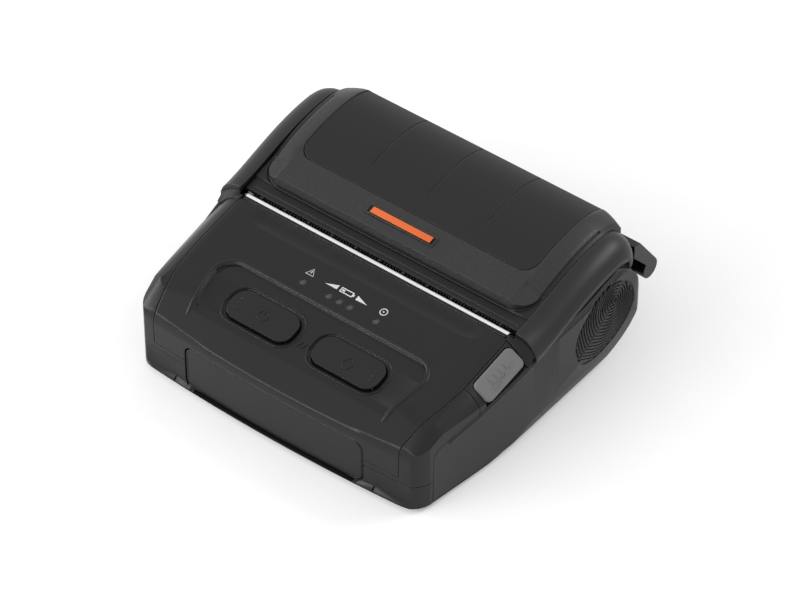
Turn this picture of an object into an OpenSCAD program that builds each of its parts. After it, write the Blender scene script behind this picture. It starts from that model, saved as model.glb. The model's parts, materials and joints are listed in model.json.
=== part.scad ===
// Portable label printer: a clamshell case with a rear-hinged roll cover, sized in millimetres.
// X runs to the right, Y to the back, Z up; the origin is under the middle on the surface it stands on.

/* [Case] */
// How far the front bows out between its corners
nose = 2; // [1:0.1:2.4]
// How far the front corners stand out beside the cover
front_step = 2.6; // [2:0.1:3.4]
// Height of the case floor above the surface it stands on
foot_h = 2; // [1:0.5:3]
// Wall of the casings
wall = 2.2; // [1.8:0.1:2.4]
// Gap left at the seams between casings
seam = 0.35; // [0.25:0.05:0.5]
// Height of the seam between the lower and upper case at the front corners
case_seam_z = 13; // [11:0.5:14]
// Depth of the sunk control field
field_depth = 1.5; // [0.8:0.1:1.7]
// Radius of the upright front corners
corner_r = 10; // [8:0.5:13]
// Radius of the upright rear corners
rear_corner_r = 8.5; // [6:0.5:12]

/* [Cover] */
// Width of each cheek beside the cover
cheek_w = 11.4; // [10.6:0.1:12.4]
// Thickness of the matte plate on the cover
plate_t = 1.3; // [0.8:0.1:1.6]
// Width of the cover's border beside the matte plate
border_w = 9.6; // [8:0.2:12]
// How far the cover falls away at its side edges
edge_drop = 3; // [2.4:0.1:3.2]
// How far the cheeks fall away towards the sides
cheek_drop = 6.2; // [5.4:0.1:6.6]
// Distance of the hinge axis behind the case
hinge_back = 9.3; // [8.8:0.1:10.4]
// Radius of the hinge barrel
hinge_r = 4.2; // [3.8:0.1:4.6]
// Radius of the hinge pins
hinge_pin_r = 1.5; // [1.2:0.1:1.8]

/* [Paper path] */
// Width of the widest label
paper_w = 109; // [104:1:114]
// Number of teeth on the tear bar
tear_teeth = 92; // [60:2:110]
// Distance from the front face to the line where head and platen meet
nip_d = 60.5; // [58:0.5:63]
// Height of the platen axis
platen_z = 36.2; // [35.6:0.1:36.8]
// Radius of the platen rubber
platen_r = 4.5; // [4.2:0.1:4.6]
// Radius of the platen shaft
shaft_r = 2; // [1.6:0.1:2.2]
// Inner radius of the paper well
well_r = 21.5; // [20.5:0.5:22.5]
// How far each roll guide slides inwards
guide_travel = 28; // [20:1:30]

/* [Drive] */
// Tooth size of the gears: pitch diameter over number of teeth
gear_module = 0.7; // [0.66:0.01:0.72]
// Teeth on the platen gear
platen_teeth = 16; // [15:1:17]
// Teeth on the idler gear
idler_teeth = 22; // [21:1:23]
// Teeth on the motor pinion
pinion_teeth = 12; // [11:1:12]
// Width of the gears
gear_w = 2.4; // [2:0.1:2.8]
// Radius of the stepper motor
motor_r = 10; // [8:0.5:10]
// Length of the stepper motor
motor_l = 16; // [12:1:20]

/* [Controls] */
// Width of the power and feed buttons
button_w = 29; // [24:0.5:31]
// Height of the power and feed buttons on the panel
button_h = 12.6; // [10:0.2:13]
// Distance of each button's middle from the centre line
button_x = 19.5; // [18:0.5:22]
// Travel of the power and feed buttons
button_travel = 0.8; // [0.5:0.1:1]
// Length of the open button
open_l = 21.4; // [18:0.2:23]
// Width of the open button
open_w = 8.8; // [8:0.2:9]
// Travel of the open button
open_travel = 1.2; // [1:0.1:1.3]
// Radius of the status lamps
lamp_r = 1.1; // [0.8:0.1:1.3]

/* [Battery] */
// Half width of the battery's end cap
cap_half_w = 40.6; // [38:0.2:42]
// Height of the top of the battery's end cap
cap_z = 23; // [21.5:0.5:23]
// Length of the battery pack behind the end cap
pack_l = 36; // [30:1:37]

/* [Hidden] */
$fn = 48;

fit = 0.05;
gap = 0.3;
skin = 2;
sheet = 1.2;
gear_gap = 0.4;
bush_w = 1.6;
// Across: paper, platen rubber, bracket, chassis, gears, cover and cheeks, from the middle out
rubber_half_l = paper_w / 2 + 1;
bracket_x = [rubber_half_l + 0.5, rubber_half_l + 0.5 + bush_w];
chassis_x = bracket_x[1] + 0.6;
gear_x = [-chassis_x - sheet - gear_gap - gear_w, -chassis_x - sheet - gear_gap];
cover_half_w = gear_gap - gear_x[0];
front_half_w = cover_half_w + front_step;
side_half_w = cover_half_w + cheek_w;
plate_half_w = cover_half_w - border_w;
tear_half_l = cover_half_w - 2.8;
guide_half_l = rubber_half_l + 0.5;

// Front to back: face, panel, nip, paper well, rear wall and hinge
panel_d = nip_d - 3.5;
well_t = 1.5;
well_d = nip_d + 12 + well_r;
shell_d = well_d + well_r + 9.5;
case_d = nose + shell_d + hinge_back + hinge_r;
front_y = nose - case_d / 2;
ahead = front_y - nose - 2;
well_y = front_y + well_d;
rear_y = front_y + shell_d;
hinge_y = rear_y + hinge_back;

// Upwards: floor, well, hinge and roof; the panel stands over the platen
floor_t = 2.2;
floor_z = foot_h + floor_t;
well_z = floor_z + 0.8 + well_t + well_r;
hinge_z = well_z - 2.5;
cover_z = well_z + 29.4;
panel_z = platen_z + 7.3;
// Inset of the walls that stand behind the side guards
behind = skin + seam;
// Gap for the paper between head and platen
paper_gap = 0.25;
platen_y = front_y + nip_d + platen_r;
// The side guard's round rear end
guard_c = [well_y + 4, well_z - 2.5];
guard_r = well_r + 1.8;
guard_front = front_y + 9.5;

function arc(c, r, a0, a1, n = 8) =
    [for (i = [0:n]) c + r * [cos(a0 + (a1 - a0) * i / n), sin(a0 + (a1 - a0) * i / n)]];
function bezier(p, n = 10) =
    [for (i = [0:n]) let (t = i / n, u = 1 - t)
        u * u * u * p[0] + 3 * u * u * t * p[1] + 3 * u * t * t * p[2] + t * t * t * p[3]];
function both_sides(p) = concat(p, [for (i = [len(p) - 1:-1:0]) [-p[i].x, p[i].y]]);
function unit(v) = v / norm(v);

// Extrudes an outline drawn in Y and Z from one X to another
module along_x(x0, x1) {
    translate([x0, 0, 0]) rotate([90, 0, 90]) linear_extrude(x1 - x0) children();
}
module rounded(w, h, r) {
    square([w - 2 * r, h], center = true);
    square([w, h - 2 * r], center = true);
    for (x = [-1, 1], y = [-1, 1]) translate([x * (w / 2 - r), y * (h / 2 - r)]) circle(r);
}
module left_and_right() {
    children();
    mirror([1, 0, 0]) children();
}
module box(x, y, z) {
    translate([x[0], y[0], z[0]]) cube([x[1] - x[0], y[1] - y[0], z[1] - z[0]]);
}

// Outer form of the case: outline from above, across and from the side, each drawn in by t
corner_x = front_half_w - corner_r;
crown_r = (corner_x * corner_x + nose * nose) / (2 * nose);
crown_y = front_y - nose + crown_r;
corner_y = crown_y - sqrt((crown_r - corner_r) ^ 2 - corner_x ^ 2);
crown_a = asin(corner_x / (crown_r - corner_r));
function side_line(t) = bezier([
    [front_half_w - t, corner_y], [front_half_w + 2.3 - t, front_y + 26],
    [side_half_w - 0.2 - t, front_y + 63], [side_half_w - t, rear_y - rear_corner_r]]);
module plan_2d(t) {
    polygon(both_sides(concat(
        arc([0, crown_y], crown_r - t, -90, crown_a - 90, 6),
        arc([corner_x, corner_y], corner_r - t, crown_a - 80, 0, 6),
        side_line(t),
        arc([side_half_w - rear_corner_r, rear_y - rear_corner_r], rear_corner_r - t, 0, 90, 6))));
}
// Sweeps a side view round the far centre of the front's bow
module crown() {
    translate([0, crown_y, 0]) rotate(-97) rotate_extrude(angle = 14, $fn = 720)
        translate([crown_y + nose, 0]) mirror([1, 0]) children();
}
tuck = 3.6;
module section_2d(t, low) {
    polygon(both_sides(concat(
        [[side_half_w - tuck - 1.4 - t, foot_h + low]],
        bezier([[side_half_w - tuck - t, foot_h + 1.4 + low], [side_half_w - 1.6 - t, 12],
            [side_half_w - t, 20], [side_half_w - t, 30]], 6),
        [[side_half_w - 1 - t, 48], [side_half_w - 1 - t, 70]])));
}
base_lip = 1.3;
roll_r = 8.5;
roll_c = [front_y + base_lip + roll_r, panel_z - 19];
// Side view of the front: round the roll and back along the panel
function panel_line(t) = let (p = roll_c + (roll_r - t) * [cos(120), sin(120)])
    concat(arc(roll_c, roll_r - t, 180, 132, 4),
        bezier([p, p + 10 * [cos(30), sin(30)], [front_y + panel_d - 24, panel_z - 3.6 - t],
            [front_y + panel_d + 0.7, panel_z - t]]));
module front_2d(t, low) {
    polygon(concat(
        [[front_y + 1.2 + t, foot_h + low], [front_y + t, foot_h + 0.8 + low],
         [front_y + t, foot_h + 1.4 + low], [front_y + base_lip + t, foot_h + 3 + low]],
        panel_line(t),
        [[front_y + panel_d + 0.7, 70], [rear_y + 20, 70], [rear_y + 20, foot_h + low]]));
}
base_corner_r = 24;
module rear_2d(t, low) {
    c = [rear_y - 0.8 - base_corner_r, foot_h + base_corner_r];
    polygon(concat(
        [[ahead, foot_h + low], [ahead, 70], [rear_y - t, 70]],
        arc(c, base_corner_r - t, 0, -75, 8), [[c.x, foot_h + low]]));
}
// Rounded shoulders: a roof outline that runs along the panel at its own pitch
module shoulder(t, pitch, start) {
    translate([0, start[0], start[1]]) rotate([90 + pitch, 0, 0])
        translate([0, 0, -150]) linear_extrude(300)
        polygon(both_sides(concat([[90, -90], [90, -31 - t], [80, -19.6 - t]],
            arc([58, -12], 12 - t, 40, 90, 6))));
}
module form(t, low) {
    intersection() {
        translate([0, 0, foot_h - 5]) linear_extrude(80) plan_2d(t);
        translate([0, rear_y + 5, 0]) rotate([90, 0, 0]) linear_extrude(case_d + 10) section_2d(t, low);
        along_x(-90, 90) rear_2d(t, low);
        crown() front_2d(t, low);
    }
}
module front_form(t) {
    intersection() {
        form(t, t);
        shoulder(t, 10, [front_y + panel_d + 0.7, panel_z]);
        shoulder(t, 32, [front_y + 4.5, panel_z - 13.2]);
        box([-90, 90], [ahead, front_y + panel_d], [0, 80]);
    }
}

// Outline of a side guard seen from the side, grown by g
module guard_2d(g) {
    c = guard_c;
    r = guard_r + g;
    polygon(concat(
        [[guard_front - g, foot_h + 1 - g], [guard_front - g, panel_z - 21.5]],
        arc([guard_front + 5, panel_z - 21.5], 5 + g, 180, 105, 4),
        [[front_y + panel_d - 25, panel_z - 13.5 + g], [front_y + panel_d + 2, panel_z - 7.1 + g],
         [front_y + panel_d + 6, panel_z - 5.2 + g], [front_y + panel_d + 15, panel_z - 3.2 + g],
         [well_y - 6, well_z + 17.2 + g]],
        arc(c, r, 90, -70, 14), [[c.x, foot_h + 1 - g]]));
}
module side_guard() {
    color("#35342f") intersection() {
        difference() {
            form(0, 0);
            form(skin, -5);
        }
        along_x(lug_x[1] + seam, 90) guard_2d(0);
        shoulder(0, 10, [front_y + panel_d + 0.7, panel_z + 2.5]);
    }
}
port_y = [front_y + 18.5, front_y + 42];
port_z = [7, 18];
// Distance of the side's outer face from the middle plane
function skin_x(y) = lookup(y, [for (p = side_line(0)) [p.y, p.x]]);
// The port cover turns on a barrel along its lower edge; end pins sit in the guard's skin
port_barrel_r = 0.85;
port_pin_r = 0.5;
port_mid = (port_y[0] + port_y[1]) / 2;
port_axis = [port_barrel_r + 0.2 - skin_x(port_mid), port_mid, port_z[0] + gap + port_barrel_r + 0.05];
port_turn = atan((skin_x(port_mid + 5) - skin_x(port_mid - 5)) / 10);
module on_port_axis() {
    translate(port_axis) rotate(port_turn) rotate([90, 0, 0]) children();
}
module side_guard_right() {
    side_guard();
}
module side_guard_left() {
    difference() {
        mirror([1, 0, 0]) side_guard();
        box([-90, -50], port_y, port_z);
        on_port_axis() cylinder(h = port_y[1] - port_y[0] + 2.6, r = port_pin_r + fit, center = true);
    }
}

// Battery bay, open at the front
bay_half_w = cap_half_w - 3;
bay_top = cap_z - 2;
bay_back = front_y + pack_l + 3.5;
pack_fit = 0.4;
cap_t = 4;
cap_low = foot_h + 1.5;
module cap_2d(g) {
    translate([0, (cap_z + cap_low) / 2])
        rounded(2 * cap_half_w + 2 * g, cap_z - cap_low + 2 * g, 4);
}
module cap_cut(g, depth) {
    translate([0, ahead, 0]) rotate([90, 0, 0]) translate([0, 0, ahead - front_y - depth])
        linear_extrude(depth + front_y - ahead) cap_2d(g);
}

// Lower case: floor, low front corners, walls behind the guards and the rear wall
screw_spots = [for (x = [-1, 1]) each [
    [x * (front_half_w - 7.2), front_y + 14], [x * (cover_half_w - 2), well_y + 6]]];
screw_r = 1.5;
screw_head_r = 2.8;
lug_x = [cover_half_w - 12.6, cover_half_w - 0.6];
rear_seam_z = hinge_z + 6.1;
foot_spots = [for (x = [-1, 1], y = [front_y + 24, well_y - 6]) [x * (cover_half_w - 8.6), y]];
latch_spot = [0, front_y + pack_l + 14];
module lower_case() {
    color("#303030") {
        difference() {
            union() {
                difference() {
                    intersection() {
                        form(behind, 0);
                        box([-90, 90], [ahead, rear_y + 1], [0, rear_seam_z - seam]);
                    }
                    form(behind + wall, floor_t);
                    box([-90, 90], [ahead, front_y + panel_d + 3], [case_seam_z - seam, 80]);
                }
                intersection() {
                    difference() {
                        form(0, 0);
                        form(wall, floor_t);
                    }
                    box([-90, 90], [ahead, guard_front - seam], [0, case_seam_z - seam]);
                }
                intersection() {
                    form(0, 0);
                    box([-90, 90], [ahead, rear_y + 1], [0, foot_h + 1 - seam]);
                }
                for (p = screw_spots) translate([p.x, p.y, foot_h + 0.5]) cylinder(h = 9, r = 3.8);
                // Rails under the battery
                for (x = [7.6 - bay_half_w, bay_half_w - 7.6])
                    box([x - 1.5, x + 1.5], [front_y + 6, bay_back - 4],
                    [floor_z - 0.1, foot_h + 3.2 - fit]);
                left_and_right() hinge_lug();
            }
            cap_cut(seam, cap_t + gap);
            box([-bay_half_w, bay_half_w], [ahead, bay_back - 3], [foot_h + 2.8, bay_top]);
            for (p = screw_spots) {
                translate([p.x, p.y, -1]) cylinder(h = 20, r = screw_r);
                translate([p.x, p.y, -1]) cylinder(h = foot_h + 3, r = screw_head_r + 0.2);
            }
            for (p = foot_spots) translate([p.x, p.y, -1]) cylinder(h = foot_h + 1.8, r = foot_r);
            translate([latch_spot.x, latch_spot.y, 0]) {
                box([-7, 7], [-3.8, 3.8], [-1, 12]);
                box([-8, 8], [-5, 5], [foot_h + 0.8, 12]);
            }
            box([-90, -50], [port_y[0] - 0.5, port_y[1] + 0.5], [port_z[0] - 0.5, port_z[1] + 0.5]);
        }
    }
}
module hinge_lug() {
    difference() {
        union() {
            along_x(lug_x[0], lug_x[1]) polygon([
                [rear_y - 3.5, hinge_z + 3.6], [hinge_y, hinge_z + hinge_r],
                [hinge_y, hinge_z - hinge_r], [rear_y - 3.2, hinge_z - 9]]);
            translate([lug_x[0], hinge_y, hinge_z]) rotate([0, 90, 0])
                cylinder(h = lug_x[1] - lug_x[0], r = hinge_r);
        }
        translate([lug_x[0] - 1, hinge_y, hinge_z]) rotate([0, 90, 0])
            cylinder(h = 20, r = hinge_pin_r);
    }
}
foot_r = 5;
module rubber_feet() {
    color("#1c1c1c") for (p = foot_spots) translate([p.x, p.y, 0]) cylinder(h = foot_h + 0.8, r = foot_r);
}
module case_screws() {
    color("silver") for (p = screw_spots) translate([p.x, p.y, foot_h + 0.6]) difference() {
        union() {
            cylinder(h = 1.4, r = screw_head_r);
            cylinder(h = 8, r = screw_r);
        }
        translate([0, 0, -1]) cylinder(h = 1.8, r = 1.3, $fn = 6);
    }
}

// Front panel and upper case share one shell, parted along a seam
seam_back_half_w = cover_half_w - 1.6;
seam_front_half_w = seam_back_half_w - 5.2;
module panel_area_2d(g) {
    polygon(both_sides([[seam_front_half_w + g, front_y - 5], [seam_front_half_w + g, front_y + 2],
        [seam_back_half_w - 1.4 + g, front_y + 19], [seam_back_half_w + g, front_y + 30],
        [seam_back_half_w + g, front_y + 90]]));
}
panel_low_z = 15.5;
module panel_cut(g) {
    intersection() {
        linear_extrude(80) panel_area_2d(g);
        translate([0, front_y + 100, 0]) rotate([90, 0, 0]) linear_extrude(120)
            translate([0, panel_low_z - g + 50]) rounded(2 * (seam_back_half_w + 4), 100, 8);
        union() {
            box([-90, 90], [front_y - 5, front_y + 7], [panel_low_z - g, 80]);
            box([-90, 90], [front_y + 6, front_y + 90], [26, 80]);
        }
    }
}
bezel_y = [front_y + panel_d - 25, front_y + panel_d];
module upper_case() {
    color("#333333") difference() {
        front_form(0);
        front_form(wall);
        box([-90, 90], [ahead, front_y + 80], [0, case_seam_z]);
        left_and_right() along_x(45, 90) guard_2d(seam);
        panel_cut(seam);
        box([seam_back_half_w, 90], [bezel_y[0] - seam, bezel_y[1] + 1], [20, 80]);
        cap_cut(seam, 12);
    }
}
// The sunk field follows the panel's own line and runs out towards the front roll
field_half_w = seam_back_half_w - 14;
field_front_half_w = field_half_w - 5;
field_corner_r = 7.5;
field_y = [front_y + 5.5, front_y + 33];
module field_cut() {
    line = [for (p = panel_line(0)) if (p.x > front_y + 3 && p.x < field_y[1] + 8) p];
    intersection() {
        along_x(-field_half_w - 3, field_half_w + 3) polygon(concat(
            [for (p = line) [p.x, p.y - field_depth * min(1, max(0, (p.x - field_y[0]) / 9))]],
            [[field_y[1] + 14, 60], [front_y, 60]]));
        linear_extrude(80) polygon(both_sides(concat(
            [[field_front_half_w, front_y]],
            arc([field_half_w, field_y[1]] - field_corner_r * [1, 1], field_corner_r, 8, 90, 8))));
    }
}
panel_pitch = 14;
// The buttons stand on the field's floor, in a ring that is sunk deeper
button_spot = [front_y + 19.4, panel_z - 6.7 - field_depth];
ring_depth = 0.9;
module on_panel(x) {
    translate([x, button_spot[0], button_spot[1]]) rotate([panel_pitch, 0, 0]) children();
}
lamp_y = front_y + 38.3;
lamp_z = panel_z - 3;
lamp_pitch = 9;
lamp_x = [-16.7, -4.8, 0, 4.8, 16.7];
module at_lamps() {
    for (x = lamp_x) translate([x, lamp_y, lamp_z]) rotate([lamp_pitch, 0, 0]) children();
}
trough_r = 8.6;
trough_half_l = tear_half_l - 1;
key_board_half_w = field_half_w - 1;
key_posts = [for (x = [-1, 1], y = [-6, 18]) [x * (key_board_half_w - 4), y]];
module front_panel() {
    color("#2f2f2f") difference() {
        union() {
            intersection() {
                difference() {
                    front_form(0);
                    front_form(wall);
                }
                panel_cut(0);
            }
            on_panel(0) for (p = key_posts)
                translate([p.x, p.y, key_board_z + board_t]) cylinder(h = 8.9, r = 2.6);
            for (x = [-button_x, button_x]) on_panel(x) translate([0, 0, -3.1])
                linear_extrude(3.4) rounded(button_w + 6.4, button_h + 6.2, 8);
        }
        cap_cut(seam, 12);
        field_cut();
        for (x = [-button_x, button_x]) on_panel(x) {
            translate([0, 0, -8]) linear_extrude(20) rounded(button_w + 0.8, button_h + 0.8, 5.4);
            translate([0, 0, -ring_depth]) linear_extrude(20) rounded(button_w + 3.6, button_h + 3.4, 6.8);
        }
        at_lamps() translate([0, 0, -8]) cylinder(h = 20, r = lamp_r + fit);
        translate([0, front_y + nip_d - 8.5, panel_z + trough_r - 1.9]) rotate([0, 90, 0])
            rotate_extrude($fn = 96) polygon([[0, -trough_half_l], [trough_r - 1.8, -trough_half_l],
                [trough_r, 12 - trough_half_l], [trough_r, trough_half_l - 12],
                [trough_r - 1.8, trough_half_l], [0, trough_half_l]]);
    }
}
module button(x) {
    on_panel(x) {
        translate([0, 0, -3.5]) linear_extrude(4.1) rounded(button_w, button_h, 5);
        translate([0, 0, -4.5]) linear_extrude(1.01) rounded(button_w + 2.4, button_h + 2.4, 6);
        translate([0, 0, switch_top]) cylinder(h = -4.5 - switch_top, r = 2);
        for (i = [-1, 0, 1]) translate([sign(x) * (button_w / 2 - 3.4), i * 2.2, 0.5])
            cylinder(h = 0.35, r = 0.5);
    }
}
module power_button() {
    color("#343434") button(-button_x);
}
module feed_button() {
    color("#343434") button(button_x);
}
board_t = 1.6;
key_board_z = -11;
switch_h = 3.2;
// Rest gap of the button's travel above the switch plunger
switch_top = key_board_z + board_t + switch_h + button_travel + gap;
module key_board() {
    color("#1f5c33") on_panel(0) difference() {
        translate([-key_board_half_w, -9.5, key_board_z]) cube([2 * key_board_half_w, 32, board_t]);
        for (p = key_posts) translate([p.x, p.y, key_board_z - 1]) cylinder(h = 4, r = 1.3);
    }
}
module key_switches() {
    color("#707070") for (x = [-button_x, button_x]) on_panel(x) {
        translate([-3, -3, key_board_z + board_t]) cube([6, 6, switch_h - 0.8]);
        translate([0, 0, key_board_z + board_t]) cylinder(h = switch_h, r = 1.6);
    }
}
module lamp_guides() {
    color("#d8d8d0") at_lamps() translate([0, 0, -5]) cylinder(h = 4.4, r = lamp_r);
}

// Open button on the right shoulder, in its own bezel
open_spot = [cover_half_w + 3.9, front_y + panel_d - 11.8, panel_z - 5.3];
open_lean = 38;
open_t = 2.2;
open_stem = 3;
module on_shoulder() {
    translate(open_spot) rotate([10, 0, 0]) rotate([0, open_lean, 0]) children();
}
finger_gap = 2;
module open_bezel() {
    color("#313131") difference() {
        intersection() {
            difference() {
                front_form(0);
                front_form(wall);
            }
            box([seam_back_half_w + seam, 90], [bezel_y[0], bezel_y[1]], [20, 80]);
        }
        along_x(45, 90) guard_2d(seam);
        on_shoulder() translate([finger_gap / 2, 0, -6]) linear_extrude(20)
            rounded(open_w + finger_gap + 0.8, open_l + 0.8, 2.4);
    }
}
module open_button() {
    color("#8a8a8c") on_shoulder() {
        translate([0, 0, 0.6 - open_t]) linear_extrude(open_t) rounded(open_w, open_l, 2.2);
        translate([0, -7, 0.6 - open_t - open_stem]) cylinder(h = open_stem + 0.1, r = 1.4);
    }
}

// Tear bar: a thin steel strip with teeth along its rear edge
tear_t = 0.8;
tooth_d = 0.9;
module tear_bar() {
    step = 2 * (tear_half_l - 1) / tear_teeth;
    y0 = front_y + panel_d + seam;
    y1 = front_y + nip_d - 0.9;
    color("white") translate([0, 0, panel_z - 0.9]) {
        linear_extrude(tear_t) polygon(concat(
            [[-tear_half_l, y0], [tear_half_l, y0], [tear_half_l, y1]],
            [for (i = [tear_teeth - 1:-1:0]) each [
                [-tear_half_l + 1 + (i + 1) * step, y1],
                [-tear_half_l + 1 + (i + 0.5) * step, y1 + tooth_d]]],
            [[-tear_half_l + 1, y1], [-tear_half_l, y1]]));
        translate([0, 0, -1.1]) box([-tear_half_l, tear_half_l], [y0, y0 + 0.8], [0, 1.11]);
    }
}

// Chassis: a bent steel frame that carries head, motor, platen seats and release lever
chassis_y = [port_y[1] - 0.5, front_y + nip_d + 11.5];
head_plate_y = front_y + nip_d - 8.3;
lever_spot = [front_y + nip_d - 12.5, platen_z - 1.2];
lever_r = 1.8;
idler_dir = unit([hinge_z - platen_z, platen_y - hinge_y]);
idler_spot = [platen_y, platen_z]
    + gear_module * (platen_teeth + idler_teeth) / 2 * idler_dir;
pinion_angle = 210;
pinion_spot = idler_spot + gear_module * (idler_teeth + pinion_teeth) / 2
    * [cos(pinion_angle), sin(pinion_angle)];
head_z = platen_z - 0.2;
head_screw_x = [-30, 30];
module chassis() {
    side_top = platen_z + 3;
    front_top = lever_spot[1] + 2.8;
    color("#9a9a98") difference() {
        union() {
            left_and_right() along_x(chassis_x, chassis_x + sheet) polygon([
                [chassis_y[0], floor_z], [chassis_y[1], floor_z], [chassis_y[1], side_top - 8],
                [platen_y + 5.4, side_top], [platen_y - 5, side_top], [platen_y - 7, front_top],
                [lever_spot[0] - 3.6, front_top], [lever_spot[0] - 4, lever_spot[1] - 5],
                [chassis_y[0], lever_spot[1] - 13]]);
            box([-chassis_x - 0.5, chassis_x + 0.5], [head_plate_y, head_plate_y + sheet],
                [platen_z - 4.7, front_top + 0.4]);
            left_and_right() box([chassis_x - 8, chassis_x + 0.5], [chassis_y[1] - 12, chassis_y[1] - 2],
                [floor_z, floor_z + sheet]);
        }
        translate([-80, platen_y, platen_z]) rotate([0, 90, 0]) cylinder(h = 160, r = shaft_r + 0.2);
        translate([0, platen_y, platen_z]) rotate([atan2(-idler_dir[1], -idler_dir[0]) - 90, 0, 0])
            box([-80, 80], [-shaft_r - 0.2, shaft_r + 0.6], [0, 12]);
        translate([-80, lever_spot[0], lever_spot[1]]) rotate([0, 90, 0])
            cylinder(h = 160, r = lever_r + fit);
        translate([-80, idler_spot[0], idler_spot[1]]) rotate([0, 90, 0])
            cylinder(h = 30, r = stud_r);
        translate([-80, pinion_spot[0], pinion_spot[1]]) rotate([0, 90, 0])
            cylinder(h = 30, r = motor_boss_r + fit);
        for (x = head_screw_x) translate([x, head_plate_y - 2, head_z]) rotate([-90, 0, 0])
            cylinder(h = 8, r = screw_r);
    }
}
module chassis_screws() {
    color("silver") for (x = head_screw_x) translate([x, head_plate_y, head_z]) rotate([90, 0, 0]) {
        cylinder(h = 1.5, r = 2.6);
        translate([0, 0, -sheet - 0.6]) cylinder(h = sheet + 1, r = screw_r);
    }
}
// Print head: a ceramic strip on a heat sink, pressed towards the platen by small springs
head_face = front_y + nip_d - paper_gap;
spring_end = head_face - 3.05;
module print_head() {
    color("#e2e0d8") difference() {
        box([-rubber_half_l + 1, rubber_half_l - 1], [head_face - 1, head_face], [head_z - 5, head_z + 5]);
        box([-80, 80], [head_face - 2, head_face - 1], [head_z - 6, head_z - 4]);
    }
    color("#3a3a3a") box([-40, 40], [head_face, head_face + 0.5], [head_z - 4.8, head_z - 2.6]);
}
module heat_sink() {
    color("#b4b6b8") difference() {
        box([-rubber_half_l + 1, rubber_half_l - 1], [spring_end - 1.4, head_face - 1],
            [head_z - 5, head_z + 4.2]);
        for (x = [-40:20:40]) translate([x, spring_end - 2.2, head_z]) rotate([-90, 0, 0])
            cylinder(h = 2.2, r = 1.95);
    }
}
module head_springs() {
    color("silver") for (x = [-40, 0, 40]) translate([x, head_plate_y + sheet, head_z])
        rotate([-90, 0, 0]) difference() {
            cylinder(h = spring_end - head_plate_y - sheet, r = 1.8);
            translate([0, 0, -1]) cylinder(h = 8, r = 1.1);
        }
}

// Boards and sockets
board_z = 8;
main_board_y = [bay_back + 4.5, front_y + nip_d + 4];
module main_board() {
    color("#1f5c33") {
        difference() {
            box([-41, 50], main_board_y, [board_z, board_z + board_t]);
            for (x = [-36, 45], y = [main_board_y[0] + 4, main_board_y[1] - 4])
                translate([x, y, board_z - 1]) cylinder(h = 4, r = 1.3);
        }
        for (x = [-36, 45], y = [main_board_y[0] + 4, main_board_y[1] - 4]) translate([x, y, floor_z])
            cylinder(h = board_z - floor_z, r = 3);
    }
}
module board_chips() {
    z = board_z + board_t;
    color("#202020") {
        box([-24, -12], [main_board_y[0] + 4, main_board_y[0] + 16], [z, z + 1.4]);
        box([16, 28], [main_board_y[0] + 4, main_board_y[0] + 12], [z, z + 1.4]);
        box([-6, 6], [main_board_y[0] + 4.2, main_board_y[0] + 9.2], [z, z + 1.4]);
        box([-12, 12], [main_board_y[1] - 3.9, main_board_y[1] - 0.5], [z, z + 3]);
    }
}
module buzzer() {
    color("#181818") translate([45, main_board_y[1] - 8, board_z + board_t]) difference() {
        cylinder(h = 5, r = 4.5);
        translate([0, 0, 4]) cylinder(h = 2, r = 1);
    }
}
module battery_contacts() {
    color("#c9a646") {
        box([-12, 12], [bay_back + gap, main_board_y[0] + 3], [board_z + board_t, 17]);
        for (x = [-7.5:5:7.5]) box([x - 1, x + 1], [bay_back - 2.6, bay_back + gap], [12, 14]);
    }
}
module head_cable() {
    y0 = head_plate_y + 3.2;
    y1 = main_board_y[1] - 2.3;
    color("#c88b3a") along_x(-18, 18) polygon([
        [y0, head_z - 2], [y0 + 0.3, head_z - 2], [y0 + 0.3, head_z - 11], [y1 + 0.4, head_z - 18],
        [y1 + 0.4, board_z + board_t + 3], [y1, board_z + board_t + 3],
        [y1, head_z - 18.2], [y0, head_z - 11.2]]);
}
module gap_sensor() {
    color("#202020") difference() {
        box([-22, -10], [front_y + nip_d + 6.5, well_y - well_r - well_t - 0.1], [well_z - 6, well_z + 1]);
        box([-19, -13], [front_y + nip_d + 5.5, front_y + nip_d + 7.5], [well_z - 2, well_z + 2]);
    }
}
port_board_z = floor_z + 2;
jack_x = [-front_half_w + 0.6, -front_half_w + 13.2];
module port_board() {
    color("#1f5c33") {
        box([-front_half_w + 4.2, -front_half_w + 23.2], [port_y[0] + 1, port_y[1] - 1],
            [port_board_z, port_board_z + board_t]);
        for (y = [port_y[0] + 5, port_y[1] - 5]) translate([-front_half_w + 19.2, y, floor_z])
            cylinder(h = port_board_z - floor_z, r = 2.5);
    }
}
jack_y = port_y[0] + 6.6;
jack_r = 2.9;
module power_jack() {
    z = port_board_z + board_t;
    color("#151515") difference() {
        box(jack_x, [jack_y - 4.6, jack_y + 4.6], [z, z + 9.2]);
        translate([jack_x[0] - 1.4, jack_y, z + 4.6]) rotate([0, 90, 0]) cylinder(h = 10, r = jack_r);
    }
    color("silver") translate([jack_x[0] + 8.59, jack_y, z + 4.6]) rotate([0, -90, 0])
        cylinder(h = 8, r = 0.9);
}
module usb_socket() {
    z = port_board_z + board_t;
    x = jack_x[0];
    y = port_y[1] - 7.6;
    color("silver") difference() {
        box([x, x + 8.6], [y - 4.5, y + 4.5], [z, z + 3.2]);
        box([x - 1.4, x + 6.6], [y - 4.1, y + 4.1], [z + 0.4, z + 2.8]);
    }
    color("#151515") box([x + 0.6, x + 6.7], [y - 2.8, y + 2.8], [z + 1.1, z + 1.9]);
}
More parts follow.
